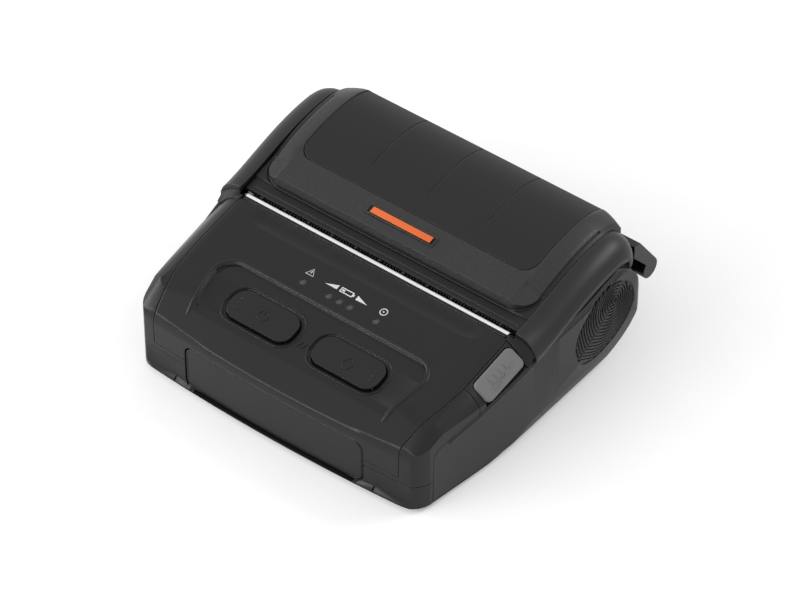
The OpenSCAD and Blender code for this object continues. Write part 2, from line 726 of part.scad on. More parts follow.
module port_cover() {
    t = skin - gap;
    w = port_y[1] - port_y[0] - 2 * gap;
    color("#2a2a2a") {
        intersection() {
            difference() {
                form(0.1, 0.1);
                form(0.1 + t, -5);
            }
            box([-90, -50], [port_y[0] + gap, port_y[1] - gap],
                [port_z[0] + gap + port_barrel_r + 0.05, port_z[1] - gap]);
        }
        on_port_axis() {
            cylinder(h = w - 0.4, r = port_barrel_r, center = true);
            cylinder(h = w + 2 * gap + 2, r = port_pin_r, center = true);
        }
    }
}

// Drive: stepper motor, pinion and idler below the platen gear
stud_r = 1.5;
motor_boss_r = 3.5;
motor_shaft_r = 1;
function gear_points(teeth) = let (
    r = gear_module * teeth / 2, tip = r + 0.85 * gear_module, root = r - 1.15 * gear_module,
    step = 360 / teeth)
    [for (i = [0:teeth - 1]) let (a = i * step) each [
        root * [cos(a - 0.30 * step), sin(a - 0.30 * step)],
        tip * [cos(a - 0.11 * step), sin(a - 0.11 * step)],
        tip * [cos(a + 0.11 * step), sin(a + 0.11 * step)],
        root * [cos(a + 0.30 * step), sin(a + 0.30 * step)]]];
module gear(teeth, bore, spot, phase) {
    translate([0, spot[0], spot[1]]) along_x(gear_x[0], gear_x[1]) difference() {
        rotate(phase) polygon(gear_points(teeth));
        circle(bore);
    }
}
// Phases that bring a tooth of one wheel into a gap of the next
idler_heading = atan2(idler_dir[1], idler_dir[0]);
idler_phase = idler_heading + 180 + 180 / idler_teeth;
pinion_phase = pinion_angle + 180 + 180 / pinion_teeth
    - (idler_phase - pinion_angle) * idler_teeth / pinion_teeth;
module platen_gear() {
    color("#e6e4da") gear(platen_teeth, shaft_r, [platen_y, platen_z], idler_heading);
}
module idler_gear() {
    color("#e6e4da") gear(idler_teeth, stud_r + fit, idler_spot, idler_phase);
}
module motor_pinion() {
    color("#c9a646") {
        gear(pinion_teeth, motor_shaft_r, pinion_spot, pinion_phase);
        translate([gear_x[0], pinion_spot[0], pinion_spot[1]]) rotate([0, 90, 0])
            cylinder(h = -chassis_x + 1 - gear_x[0], r = motor_shaft_r);
    }
}
module idler_stud() {
    color("silver") translate([gear_x[0] - 1.2, idler_spot[0], idler_spot[1]]) rotate([0, 90, 0]) {
        cylinder(h = -chassis_x - gear_x[0] + 1.2, r = stud_r);
        cylinder(h = 0.9, r = stud_r + 0.9);
    }
}
module stepper_motor() {
    color("#a8a9ab") translate([-chassis_x, pinion_spot[0], pinion_spot[1]]) rotate([0, 90, 0])
        difference() {
            union() {
                cylinder(h = motor_l, r = motor_r);
                translate([0, 0, -sheet]) cylinder(h = sheet + 0.1, r = motor_boss_r);
            }
            translate([0, 0, -sheet - 1]) cylinder(h = 4, r = motor_shaft_r + fit);
        }
}

// Paper well: a trough under the roll, with slots for the guides' arms
arm_y = [front_y + nip_d + 10.5, front_y + nip_d + 15.1];
rack_z = [6, 8.6];
rack_pitch = 1.2 * PI;
rack_h = 2.2;
guide_t = 1.8;
module paper_well() {
    color("#2b2b2b") difference() {
        translate([0, well_y, well_z]) along_x(-guide_half_l - 0.4, guide_half_l + 0.4) polygon(concat(
            arc([0, 0], well_r + well_t, 184, 356, 16), arc([0, 0], well_r, 356, 184, 16)));
        left_and_right() box([guide_half_l - guide_t - guide_travel - 0.4, guide_half_l + 4],
            [arm_y[0] - 1, arm_y[1] + 3.6], [4, well_z - 3.4]);
    }
    color("#2b2b2b") left_and_right() box([guide_half_l - 16, guide_half_l - 8], [well_y - 8, well_y + 5],
        [floor_z, well_z - well_r - well_t + 1.4]);
}
// The left guide's rack lies in front of the pinion and the right one's behind it
pinion_r = 3 * rack_pitch / PI;
guide_pinion_y = arm_y[0] + 2;
rack_gap = pinion_r + 0.95;
rack_l = 68;
module rack() {
    x0 = guide_half_l - rack_l;
    box([x0, guide_half_l], [guide_pinion_y + rack_gap, guide_pinion_y + rack_gap + rack_h], rack_z);
    for (k = [ceil((x0 + 1) / rack_pitch):floor((guide_half_l - 4) / rack_pitch)])
        translate([k * rack_pitch, guide_pinion_y + rack_gap + 0.01, rack_z[0]])
            linear_extrude(rack_z[1] - rack_z[0])
            polygon([[-0.85, 0], [-0.35, -1.6], [0.35, -1.6], [0.85, 0]]);
}
module guide_plate() {
    along_x(guide_half_l - guide_t, guide_half_l) {
        difference() {
            translate([well_y, well_z]) circle(well_r - 1.6);
            translate([well_y - 40, well_z + 12]) square([80, 40]);
            translate([well_y, well_z + 6]) circle(9);
        }
        polygon([[arm_y[0], rack_z[0]], [arm_y[1], rack_z[0]], [arm_y[1], 15],
            [arm_y[1] + 3, well_z - 8], [arm_y[1] + 3, well_z - 4], [arm_y[0] + 1.5, well_z - 4],
            [arm_y[0], well_z - 8]]);
    }
}
module roll_guide_right() {
    color("#444444") {
        guide_plate();
        rack();
        box([guide_half_l - guide_t, guide_half_l], [arm_y[1] - 1, guide_pinion_y + rack_gap + 1], rack_z);
    }
}
module roll_guide_left() {
    color("#444444") {
        mirror([1, 0, 0]) guide_plate();
        translate([0, 2 * guide_pinion_y, 0]) rotate(180) rack();
        box([-guide_half_l, -guide_half_l + guide_t],
            [guide_pinion_y - rack_gap - 1, arm_y[0] + 1], rack_z);
    }
}
guide_teeth = 6;
module guide_pinion() {
    color("#e6e4da") translate([0, guide_pinion_y, rack_z[0]]) {
        linear_extrude(rack_z[1] - rack_z[0]) difference() {
            polygon([for (i = [0:guide_teeth - 1]) let (a = i * 60, r = pinion_r) each [
                (r - 1.1) * [cos(a - 16), sin(a - 16)], (r + 0.7) * [cos(a - 5), sin(a - 5)],
                (r + 0.7) * [cos(a + 5), sin(a + 5)], (r - 1.1) * [cos(a + 16), sin(a + 16)]]]);
            circle(1.05);
        }
    }
}

// Release lever: a shaft across the chassis with lift arms under the platen shaft's ends
arm_x = [cover_half_w + 0.2, cover_half_w + 1.7];
finger_y = [open_spot.y - 8.7, open_spot.y - 3.7];
finger_z = panel_z - 11.1;
// The arms close this gap under the shaft over the open button's travel
lift_gap = 2.25 * open_travel;
module release_lever() {
    color("#bdbdb8") {
        translate([-arm_x[0] - 0.4, lever_spot[0], lever_spot[1]]) rotate([0, 90, 0])
            cylinder(h = 2 * arm_x[0] + 0.8, r = lever_r);
        left_and_right() along_x(arm_x[0], arm_x[1]) polygon([
            [lever_spot[0], lever_spot[1] + 1], [lever_spot[0], lever_spot[1] - 2],
            [platen_y + 2, platen_z - shaft_r - lift_gap - 2.3],
            [platen_y + 2, platen_z - shaft_r - lift_gap], [platen_y - 4, platen_z - shaft_r - lift_gap]]);
        // The finger that the open button pushes down
        along_x(arm_x[0], arm_x[1]) polygon([
            [lever_spot[0], lever_spot[1] + 1], [lever_spot[0], lever_spot[1] - 2],
            [finger_y[0], finger_z - 1.8], [finger_y[0], finger_z], [finger_y[1], finger_z]]);
        box([arm_x[0], arm_x[1] + 2.2], finger_y, [finger_z - 1.8, finger_z]);
    }
}

// Battery pack: cells in a case whose end cap is the plate seen on the front
module battery_cap() {
    color("#2c2c2c") intersection() {
        cap_cut(0, cap_t);
        crown() translate([front_y + base_lip, 0]) square([30, 60]);
    }
}
module battery_pack() {
    color("#3d3d42") difference() {
        box([-bay_half_w + pack_fit, bay_half_w - pack_fit],
            [front_y + cap_t, front_y + cap_t + pack_l - 2.6], [foot_h + 3.2, bay_top - pack_fit]);
        for (x = [-7.5:5:7.5]) box([x - 1.3, x + 1.3],
            [front_y + cap_t + pack_l - 5, front_y + 50], [11.5, 14.5]);
    }
}
module battery_latch() {
    color("#26262a") translate([latch_spot.x, latch_spot.y, 0]) {
        box([-6, 4], [-4.6, 4.6], [foot_h + 1, foot_h + floor_t]);
        for (x = [-4:2:2]) box([x - 0.4, x + 0.4], [-3.4, 3.4], [foot_h + 0.2, foot_h + 1.01]);
    }
}

// Cover: shell, matte plate, cheeks and liner, hinged on a barrel behind the case
lip_d = nip_d + 1.9;
lip_t = 1.2;
step_d = nip_d + 8.2;
ramp_d = nip_d + 20.5;
cover_wall = wall + plate_t;
roof_front_r = 80;
roof_rear_r = 30;
roof_corner_r = 4.9;
roof_corner_a = 28;
corner_arm = (roof_rear_r - roof_corner_r) * [sin(roof_corner_a), cos(roof_corner_a)];
crest_y = rear_y + 0.7 - roof_corner_r - corner_arm.x;
roof_a = asin((crest_y - front_y - ramp_d) / roof_front_r);
roof_front_c = [crest_y, cover_z - roof_front_r];
roof_rear_c = [crest_y, cover_z - roof_rear_r];
roof_corner_c = roof_rear_c + corner_arm;
function roof_line(t) = concat(
    arc(roof_front_c, roof_front_r - t, 90 + roof_a, 90, 8),
    arc(roof_rear_c, roof_rear_r - t, 85, 90 - roof_corner_a, 4),
    arc(roof_corner_c, roof_corner_r - t, 82 - roof_corner_a, 0, 6));
// Height of the roof on its long front slope
function roof_z(y) = roof_front_c.y + sqrt(roof_front_r ^ 2 - (y - crest_y) ^ 2);
ramp_z = roof_z(front_y + ramp_d);
// The roof line with its front end run on, for the matte plate and its bed
function plate_line(t) = concat([[front_y + ramp_d - 3, roof_z(front_y + ramp_d - 3) - t]], roof_line(t));
function cover_line(t) = let (f = min(t, lip_t)) concat(
    [[front_y + lip_d + f, panel_z - 2.5], [front_y + lip_d + f, panel_z + 0.1 - f],
     [front_y + step_d - 0.8 + f, panel_z + 1.2 - f], [front_y + step_d + t, ramp_z - 3.2 - t]],
    roof_line(t),
    [[rear_y + 0.7 - t, rear_seam_z - 0.6]]);
cheek_y = [front_y + panel_d + 2.5, crest_y - 1];
cheek_end = [rear_y - 2.4, well_z + 14];
cheek_top = cover_z - edge_drop + 0.4;
function cheek_line(drop) = concat(
    bezier([[cheek_y[0], panel_z + 2 - 1.13 * drop], [cheek_y[0] + 14.5, panel_z + 3.3 - drop],
        [cheek_y[1] - 20, cheek_top - 0.2 - drop], [cheek_y[1], cheek_top - drop]]),
    [for (i = [1:8]) bezier([[cheek_y[1], cheek_top - drop], [cheek_y[1] + 9, cheek_top - drop],
        [cheek_end.x - drop, cheek_top - 3.4 - drop], [cheek_end.x - drop, cheek_end.y]], 8)[i]]);
module cover_hollow_2d() {
    polygon(concat(cover_line(cover_wall), [[well_y - 4, 20], [front_y + nip_d + 5.5, 30]]));
}
// Rounds off the roof's side edges: a profile across, swept along the roof and down the back
edge_profile = [[plate_half_w + 0.6, 0.1], [cover_half_w - 6.6, -0.12 * edge_drop],
    [cover_half_w - 3.6, -0.44 * edge_drop], [cover_half_w - 1.6, -0.72 * edge_drop],
    [cover_half_w + 1, -1.1 * edge_drop]];
function edge_path(t) = concat(
    [[front_y + ramp_d - 5, roof_z(front_y + ramp_d - 5) - t]], roof_line(t), [[rear_y + 0.7 - t, 28]]);
module edge_cut() {
    n = len(edge_path(0));
    m = len(edge_profile);
    ring = 2 * m;
    profile = concat(edge_profile, [for (j = [m - 1:-1:0]) [edge_profile[j].x, 2]]);
    points = [for (i = [0:n - 1], q = profile) let (p = edge_path(-q.y)[i]) [q.x, p.x, p.y]];
    faces = concat(
        [for (i = [0:n - 2], j = [0:ring - 1]) let (a = i * ring, b = a + ring, k = (j + 1) % ring) each
            [[a + j, b + k, b + j], [a + j, a + k, b + k]]],
        [for (j = [0:m - 2]) let (k = ring - 1 - j, e = (n - 1) * ring) each
            [[j, k, k - 1], [j, k - 1, j + 1], [e + j, e + k - 1, e + k], [e + j, e + j + 1, e + k - 1]]]);
    left_and_right() polyhedron(points, faces, convexity = 4);
}
badge_w = 31;
badge_h = 4.4;
module on_ramp() {
    translate([0, front_y + (step_d + ramp_d) / 2, ramp_z - 1.6])
        rotate([atan2(3.2, ramp_d - step_d), 0, 0]) children();
}
module plate_area(g) {
    translate([0, front_y + ramp_d + 60, 0]) linear_extrude(90)
        rounded(2 * plate_half_w + 2 * g, 120 + 2 * g, 6);
}
module cover_shell() {
    color("#333333") difference() {
        intersection() {
            along_x(-cover_half_w, cover_half_w) polygon(concat(cover_line(0), [[front_y + 90, 31]]));
            union() {
                box([-90, 90], [front_y + 60, well_y - 4], [41, 80]);
                box([-90, 90], [front_y + 76, rear_y + 5], [36, 80]);
                box([2.6 - cover_half_w, cover_half_w - 2.6], [well_y + 16, rear_y + 5], [rear_seam_z, 80]);
            }
        }
        edge_cut();
        along_x(-cover_half_w + wall, cover_half_w - wall) cover_hollow_2d();
        // The bed of the matte plate
        intersection() {
            along_x(-plate_half_w - seam, plate_half_w + seam)
                polygon(concat(plate_line(plate_t), [[rear_y + 0.7 - plate_t, 36], [rear_y + 3, 36]],
                    [[rear_y + 3, cover_z + 5], [front_y + ramp_d - 3, cover_z + 5]]));
            plate_area(seam);
        }
        // The front of the side walls is open for the gears and the shaft
        along_x(-cover_half_w - 1, cover_half_w + 1) intersection() {
            cover_hollow_2d();
            translate([front_y + nip_d - 0.5, 30]) square([14, 30]);
        }
        along_x(-cover_half_w - 1, gear_x[1] + gap) translate([platen_y, platen_z])
            circle(gear_module * (platen_teeth / 2 + 0.85) + 0.4);
        on_ramp() translate([0, 0, -0.6]) linear_extrude(5) rounded(badge_w + 0.3, badge_h + 0.3, 0.7);
        for (s = cover_screw_spots) translate([s.x, s.y, roof_z(s.y) - cover_wall - 1])
            cylinder(h = wall, r = screw_r);
    }
}
groove_x = [-26, 0, 26];
groove_w = 0.5;
glue = 0.03;
module cover_plate() {
    top = 0.1;
    bottom = plate_t - glue;
    color("#3a3a3c") difference() {
        intersection() {
            along_x(-plate_half_w, plate_half_w) polygon(concat(plate_line(top),
                [[rear_y + 0.7 - top, 38], [rear_y + 0.7 - bottom, 38]],
                [for (i = [len(plate_line(0)) - 1:-1:0]) plate_line(bottom)[i]]));
            plate_area(0);
        }
        for (x = groove_x) along_x(x - groove_w / 2, x + groove_w / 2) intersection() {
            polygon(concat(roof_line(top + 0.5), [[rear_y + 5, cover_z - 6], [rear_y + 5, cover_z + 5],
                [front_y + ramp_d - 3, cover_z + 5]]));
            translate([front_y + ramp_d + 9, cover_z - 8]) square([60, 20]);
        }
    }
}
module cover_inlay() {
    color("#d8602a") on_ramp() translate([0, 0, -0.6]) linear_extrude(0.5) rounded(badge_w, badge_h, 0.6);
}
module cover_cheek_right() {
    color("#3a3937") cheek_skin();
}
module cover_cheek_left() {
    color("#3a3937") mirror([1, 0, 0]) cheek_skin();
}
// A skin swept outwards from the cover's edge: every ring is the cheek's line, lowered
function cheek_x(u) = cover_half_w + seam + (side_half_w - 1.6 - cover_half_w - seam) * u;
function cheek_fall(u) = cheek_drop * (1 - sqrt(1 - 0.93 * u * u)) / (1 - sqrt(0.07));
module cheek_skin() {
    n = 8;
    m = len(cheek_line(0));
    ring = 2 * m;
    points = [for (i = [0:n]) let (x = cheek_x(i / n), f = cheek_fall(i / n)) each
        [for (j = [0:ring - 1]) let (p = j < m ? cheek_line(f)[j] : cheek_line(f + skin)[ring - 1 - j])
            [x, p.x, p.y]]];
    faces = concat(
        [for (i = [0:n - 1], j = [0:ring - 1]) let (k = (j + 1) % ring) each [
            [i * ring + j, i * ring + k, (i + 1) * ring + k],
            [i * ring + j, (i + 1) * ring + k, (i + 1) * ring + j]]],
        [for (j = [0:m - 2]) each [
            [j, ring - 1 - j, ring - 2 - j], [j, ring - 2 - j, j + 1]]],
        [for (j = [0:m - 2]) let (b = n * ring) each [
            [b + j, b + ring - 2 - j, b + ring - 1 - j], [b + j, b + j + 1, b + ring - 2 - j]]]);
    polyhedron(points, faces, convexity = 4);
}
cover_screw_spots = [for (x = [5 - plate_half_w, plate_half_w - 5], y = [crest_y - 22, crest_y - 2])
    [x, y]];
liner_t = 1.2;
module cover_liner() {
    color("#2a2a2a") difference() {
        along_x(1 - plate_half_w, plate_half_w - 1) intersection() {
            difference() {
                polygon(cover_line(cover_wall + glue));
                polygon(cover_line(cover_wall + liner_t));
            }
            translate([front_y + ramp_d + 3, 30]) square([crest_y - front_y - ramp_d + 3, 40]);
        }
        for (s = cover_screw_spots) translate([s.x, s.y, roof_z(s.y) - 9])
            cylinder(h = 8, r = screw_r + fit);
    }
}
module cover_screws() {
    color("silver") for (s = cover_screw_spots)
        translate([s.x, s.y, roof_z(s.y) - cover_wall - liner_t - 2.3]) {
            cylinder(h = liner_t + 3, r = screw_r);
            cylinder(h = 1.1, r = 2.6);
        }
}
hinge_arm_x = [cover_half_w + 0.4, cover_half_w + 5.9];
module hinge_arms() {
    color("#2e2e2e") left_and_right() difference() {
        union() {
            along_x(hinge_arm_x[0], hinge_arm_x[1]) polygon([
                [rear_y - 1.5, 43.5], [rear_y + 2, 43], [hinge_y + 3.2, hinge_z + 2.8],
                [hinge_y - 2.6, hinge_z + 3.2], [rear_y - 1.5, 38]]);
            translate([hinge_arm_x[0], hinge_y, hinge_z]) rotate([0, 90, 0])
                cylinder(h = hinge_arm_x[1] - hinge_arm_x[0], r = hinge_r);
            box([cover_half_w - 6.6, hinge_arm_x[1]], [rear_y + 0.7, rear_y + 2], [38.5, 43]);
        }
        translate([hinge_arm_x[0] - 1, hinge_y, hinge_z]) rotate([0, 90, 0])
            cylinder(h = 5, r = hinge_pin_r + fit);
    }
}
module hinge_pins() {
    color("silver") left_and_right() translate([lug_x[0], hinge_y, hinge_z]) rotate([0, 90, 0])
        cylinder(h = hinge_arm_x[0] + 3.6 - lug_x[0], r = hinge_pin_r);
}

// Platen and the bracket that carries it under the cover's front edge
bush_r = 3.4;
module platen_bracket() {
    y0 = front_y + lip_d + lip_t + gap;
    top = panel_z + 0.1 - lip_t - gap;
    color("#282828") {
        left_and_right() difference() {
            along_x(bracket_x[0], bracket_x[1]) polygon([
                [platen_y - 3.6, platen_z - 3.6], [platen_y + 3.6, platen_z - 3.6],
                [front_y + nip_d + 14.5, platen_z + 4.8], [front_y + nip_d + 14.5, panel_z + 1.9],
                [front_y + nip_d + 11.7, panel_z + 0.9], [y0 + 5, top + 0.8],
                [y0, top], [y0, platen_z + 4.4], [platen_y - 3.6, platen_z + 4.4]]);
            translate([0, platen_y, platen_z]) rotate([0, 90, 0])
                cylinder(h = 90, r = bush_r);
        }
        along_x(-bracket_x[1], bracket_x[1]) intersection() {
            cover_hollow_2d();
            translate([front_y + nip_d + 11.7, platen_z + 6.3]) square([3.2, 10]);
        }
    }
}
module platen_bushes() {
    color("#d9d4c0") left_and_right() translate([bracket_x[0], platen_y, platen_z])
        rotate([0, 90, 0]) difference() {
            cylinder(h = bracket_x[1] - bracket_x[0], r = bush_r);
            translate([0, 0, -1]) cylinder(h = 5, r = shaft_r + fit);
        }
}
module platen_shaft() {
    color("silver") translate([-arm_x[1] - 0.3, platen_y, platen_z]) rotate([0, 90, 0])
        cylinder(h = 2 * arm_x[1] + 0.6, r = shaft_r);
}
module platen_rubber() {
    color("#1a1a1a") translate([-rubber_half_l, platen_y, platen_z]) rotate([0, 90, 0]) difference() {
        cylinder(h = 2 * rubber_half_l, r = platen_r);
        translate([0, 0, -1]) cylinder(h = 2 * rubber_half_l + 2, r = shaft_r);
    }
}

lower_case();
upper_case();
front_panel();
side_guard_left();
side_guard_right();
open_bezel();
tear_bar();
chassis();
print_head();
heat_sink();
head_springs();
main_board();
board_chips();
key_board();
key_switches();
lamp_guides();
port_board();
power_jack();
usb_socket();
buzzer();
battery_contacts();
gap_sensor();
head_cable();
stepper_motor();
idler_stud();
paper_well();
hinge_pins();
case_screws();
chassis_screws();
rubber_feet();
cover_shell();
cover_plate();
cover_inlay();
cover_cheek_left();
cover_cheek_right();
cover_liner();
hinge_arms();
platen_bracket();
platen_bushes();
cover_screws();
platen_shaft();
platen_rubber();
platen_gear();
idler_gear();
motor_pinion();
power_button();
feed_button();
open_button();
release_lever();
battery_pack();
battery_cap();
battery_latch();
port_cover();
roll_guide_left();
roll_guide_right();
guide_pinion();
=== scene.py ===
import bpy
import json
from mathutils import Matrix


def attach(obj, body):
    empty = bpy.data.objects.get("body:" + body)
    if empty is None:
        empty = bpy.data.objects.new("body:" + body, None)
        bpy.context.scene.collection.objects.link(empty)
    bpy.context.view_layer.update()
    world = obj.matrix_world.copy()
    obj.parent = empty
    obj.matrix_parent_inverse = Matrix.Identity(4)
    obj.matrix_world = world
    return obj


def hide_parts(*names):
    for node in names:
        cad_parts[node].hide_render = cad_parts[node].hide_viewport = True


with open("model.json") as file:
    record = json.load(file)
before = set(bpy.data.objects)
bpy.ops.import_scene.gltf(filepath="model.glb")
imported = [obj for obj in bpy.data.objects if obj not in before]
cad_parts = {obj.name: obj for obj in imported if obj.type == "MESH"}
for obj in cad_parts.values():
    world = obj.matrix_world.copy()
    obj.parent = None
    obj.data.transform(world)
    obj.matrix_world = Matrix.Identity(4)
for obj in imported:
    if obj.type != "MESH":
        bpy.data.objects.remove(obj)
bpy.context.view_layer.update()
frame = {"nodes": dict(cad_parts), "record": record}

import json
import math
import bmesh
import bpy
from mathutils import Matrix, Vector
from mathutils.bvhtree import BVHTree

# The picture: the camera stands to the right of the front and looks down from about 43 degrees.
# Three large soft lamps stand around the object, as in a small white photo tent.
scene = bpy.context.scene
scene.view_settings.view_transform = "Standard"
view_from = Vector((0.7330, -0.9328, 1.1326))
view_to = Vector((0.00594, -0.00209, 0.02372))
camera = bpy.data.objects.new("camera", bpy.data.cameras.new("camera"))
scene.collection.objects.link(camera)
camera.location = view_from
camera.rotation_euler = (view_to - view_from).to_track_quat("-Z", "Y").to_euler()
camera.data.sensor_width = 36
camera.data.lens = 201.2
camera.data.clip_start = 0.05
camera.data.clip_end = 20
scene.camera = camera
lit_spot = Vector((0, 0, 0.03))


def soft_lamp(name, place, width, height, watts):
    """A flat soft lamp that faces the middle of the object."""
    light = bpy.data.lights.new(name, "AREA")
    light.shape = "RECTANGLE"
    light.size = width
    light.size_y = height
    light.energy = watts
    holder = bpy.data.objects.new(name, light)
    scene.collection.objects.link(holder)
    holder.location = place
    holder.rotation_euler = (lit_spot - Vector(place)).to_track_quat("-Z", "Y").to_euler()


soft_lamp("rear_lamp", (0.55, 0.85, 0.95), 0.7, 0.3, 6)
soft_lamp("left_lamp", (-1.1, -0.45, 0.50), 0.6, 0.3, 6)
soft_lamp("front_lamp", (-0.45, -1.0, 0.62), 0.9, 0.12, 7)


# Floor and surroundings: matte pale paint that keeps the object's shadow. To the camera, to gloss
# and to glass both floor and surroundings are white.
class Signal:
    """A shader socket on which sums are written as plain expressions."""

    def __init__(self, finish, socket):
        self.finish = finish
        self.socket = socket

    def math(self, operation, first, second):
        return self.finish.node("ShaderNodeMath", {"operation": operation}, {0: first, 1: second})

    def __add__(self, other):
        return self.math("ADD", self, other)

    def __radd__(self, other):
        return self.math("ADD", other, self)

    def __sub__(self, other):
        return self.math("SUBTRACT", self, other)

    def __rsub__(self, other):
        return self.math("SUBTRACT", other, self)

    def __mul__(self, other):
        return self.math("MULTIPLY", self, other)

    def __rmul__(self, other):
        return self.math("MULTIPLY", other, self)


class Finish:
    """A material whose nodes are added one by one."""

    def __init__(self, material):
        self.material = material
        material.use_nodes = True
        self.tree = material.node_tree
        self.tree.nodes.clear()

    def node(self, kind, settings, values, output=0):
        made = self.tree.nodes.new(kind)
        for key, value in settings.items():
            setattr(made, key, value)
        for key, value in values.items():
            if isinstance(value, Signal):
                self.tree.links.new(value.socket, made.inputs[key])
            else:
                made.inputs[key].default_value = value
        return Signal(self, made.outputs[output]) if made.outputs else None

    def place(self):
        return self.node("ShaderNodeTexCoord", {}, {}, "Object")

    def noise(self, where, scale, detail):
        return self.node("ShaderNodeTexNoise", {},
                         {"Vector": where, "Scale": scale, "Detail": detail})

    def blend(self, share, low, high):
        return self.node("ShaderNodeMix", {"data_type": "RGBA"}, {0: share, 6: low, 7: high}, 2)

    def shader(self, **values):
        sockets = {name.replace("_", " "): value for name, value in values.items()}
        return self.node("ShaderNodeBsdfPrincipled", {}, sockets)

    def show(self, shader):
        self.node("ShaderNodeOutputMaterial", {}, {"Surface": shader})
        return self.material


def grey(level):
    return (level, level, level, 1)


def rays_seen(finish):
    """One for rays from the camera, from gloss and through glass."""
    camera_ray, glossy_ray, clear_ray = [
        finish.node("ShaderNodeLightPath", {}, {}, kind) for kind in
        ("Is Camera Ray", "Is Glossy Ray", "Is Transmission Ray")]
    return finish.node("ShaderNodeMath", {"operation": "MINIMUM"},
                       {0: camera_ray + glossy_ray + clear_ray, 1: 1.0})


floor_half = 6
floor_lift = 0.24
floor_finish = Finish(bpy.data.materials.new("floor_paint"))
speckle = floor_finish.noise(floor_finish.place(), 40.0, 2.0)
floor_finish.show(floor_finish.shader(
    Base_Color=floor_finish.blend(speckle, grey(0.84), grey(0.88)), Roughness=0.9,
    Emission_Strength=1.0,
    Emission_Color=floor_finish.blend(rays_seen(floor_finish), grey(0.0), grey(floor_lift))))
floor_shape = bmesh.new()
bmesh.ops.create_grid(floor_shape, x_segments=1, y_segments=1, size=floor_half)
floor = bpy.data.objects.new("floor", bpy.data.meshes.new("floor"))
floor_shape.to_mesh(floor.data)
floor_shape.free()
floor.data.materials.append(floor_finish.material)
scene.collection.objects.link(floor)

air_light = 0.55
white_lift = 0.45
world = bpy.data.worlds.new("surroundings")
scene.world = world
air = Finish(world)
air.node("ShaderNodeOutputWorld", {}, {"Surface": air.node(
    "ShaderNodeBackground", {},
    {"Color": grey(1.0), "Strength": air_light + white_lift * rays_seen(air)})})


# Lower case: a black moulding with the floor, the low front corners and the rear wall. It is
# injection moulded with a finely eroded grain; its rims carry a painted highlight, a little
# brighter.
body_of = {node: body for body, nodes in frame["record"]["behaviour"]["bodies"].items()
           for node in nodes}


def plastic(name, tone, rough, rim, grain=0.00045, gloss=0.28, patch=None):
    """Moulded plastic; a patch gives the share by which an area is paler and coarser."""
    pit_depth = 0.00002
    made = Finish(bpy.data.materials.new(name))
    where = made.place()
    cloud = made.noise(where, 22.0, 3.0)
    pits = made.noise(where, 1 / grain, 2.0)
    rounded = made.node("ShaderNodeBevel", {"samples": 6}, {"Radius": rim})
    true = made.node("ShaderNodeNewGeometry", {}, {}, "Normal")
    flat = made.node("ShaderNodeVectorMath", {"operation": "DOT_PRODUCT"},
                     {0: rounded, 1: true}, "Value")
    # Painted highlight: edges that the Bevel node rounds are painted paler, as highlight lines.
    edge_highlight = made.node("ShaderNodeMapRange", {"clamp": True}, {
        "Value": flat, "From Min": 0.93, "From Max": 0.75, "To Min": 0.0, "To Max": 1.0})
    low, high = [tuple(c * share for c in tone) + (1,) for share in (0.88, 1.12)]
    highlight_tone = tuple(2.4 * c + 0.03 for c in tone) + (1,)
    grained = made.node("ShaderNodeBump", {}, {
        "Strength": 0.55, "Distance": pit_depth, "Height": pits, "Normal": rounded})
    moulded = made.blend(cloud, low, high)
    if patch:
        pale = tuple(6.5 * c for c in tone) + (1,)
        speckled = made.blend(pits, moulded, pale)
        moulded = made.blend(patch(made, where), moulded, speckled)
    return made.show(made.shader(
        Base_Color=made.blend(edge_highlight, moulded, highlight_tone), Specular_IOR_Level=gloss,
        Roughness=rough - 0.05 + 0.1 * cloud, Normal=grained))


def merged(node):
    """A CAD node's loose triangles as one closed mesh, its flat faces made whole."""
    shape = bmesh.new()
    shape.from_mesh(frame["nodes"][node].data)
    bmesh.ops.remove_doubles(shape, verts=shape.verts, dist=2e-6)
    bmesh.ops.dissolve_limit(shape, angle_limit=math.radians(0.6), verts=shape.verts,
                             edges=shape.edges)
    return shape


def joined(shape, other):
    """Adds another closed mesh to a mesh; the other is given up."""
    mesh = bpy.data.meshes.new("blank")
    other.to_mesh(mesh)
    other.free()
    shape.from_mesh(mesh)
    return shape


def carved(shape, cutter):
    """A mesh cut by another; both are given up."""
    holders = []
    for made in (shape, cutter):
        mesh = bpy.data.meshes.new("blank")
        made.to_mesh(mesh)
        made.free()
        holders.append(bpy.data.objects.new("blank", mesh))
        scene.collection.objects.link(holders[-1])
    cut = holders[0].modifiers.new("cut", "BOOLEAN")
    cut.operation = "DIFFERENCE"
    cut.solver = "EXACT"
    cut.object = holders[1]
    made = bmesh.new()
    made.from_object(holders[0], bpy.context.evaluated_depsgraph_get())
    for holder in holders:
        bpy.data.objects.remove(holder)
    return made


def piece(name, shape, finish, body, crease=30):
    mesh = bpy.data.meshes.new(name)
    shape.to_mesh(mesh)
    shape.free()
    for face in mesh.polygons:
        face.use_smooth = True
    mesh.set_sharp_from_angle(angle=math.radians(crease))
    mesh.materials.append(finish)
    made = bpy.data.objects.new(name, mesh)
    scene.collection.objects.link(made)
    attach(made, body)
    return made


def moulding(node, shape, finish, crease=30):
    """A piece that is shown in place of a CAD node."""
    made = piece(node + "_moulding", shape, finish, body_of[node], crease)
    made.modifiers.new("level_faces", "WEIGHTED_NORMAL").keep_sharp = True
    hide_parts(node)
    return made


def bar(size, middle, turn=Matrix.Identity(4), rim=0.0001):
    """A block with rounded edges."""
    shape = bmesh.new()
    bmesh.ops.create_cube(shape, size=1)
    bmesh.ops.scale(shape, vec=size, verts=shape.verts)
    bmesh.ops.bevel(shape, geom=shape.edges, offset=rim, offset_type="OFFSET", affect="EDGES",
                    segments=2, profile=0.5, material=-1)
    bmesh.ops.transform(shape, matrix=Matrix.Translation(middle) @ turn, verts=shape.verts)
    return shape


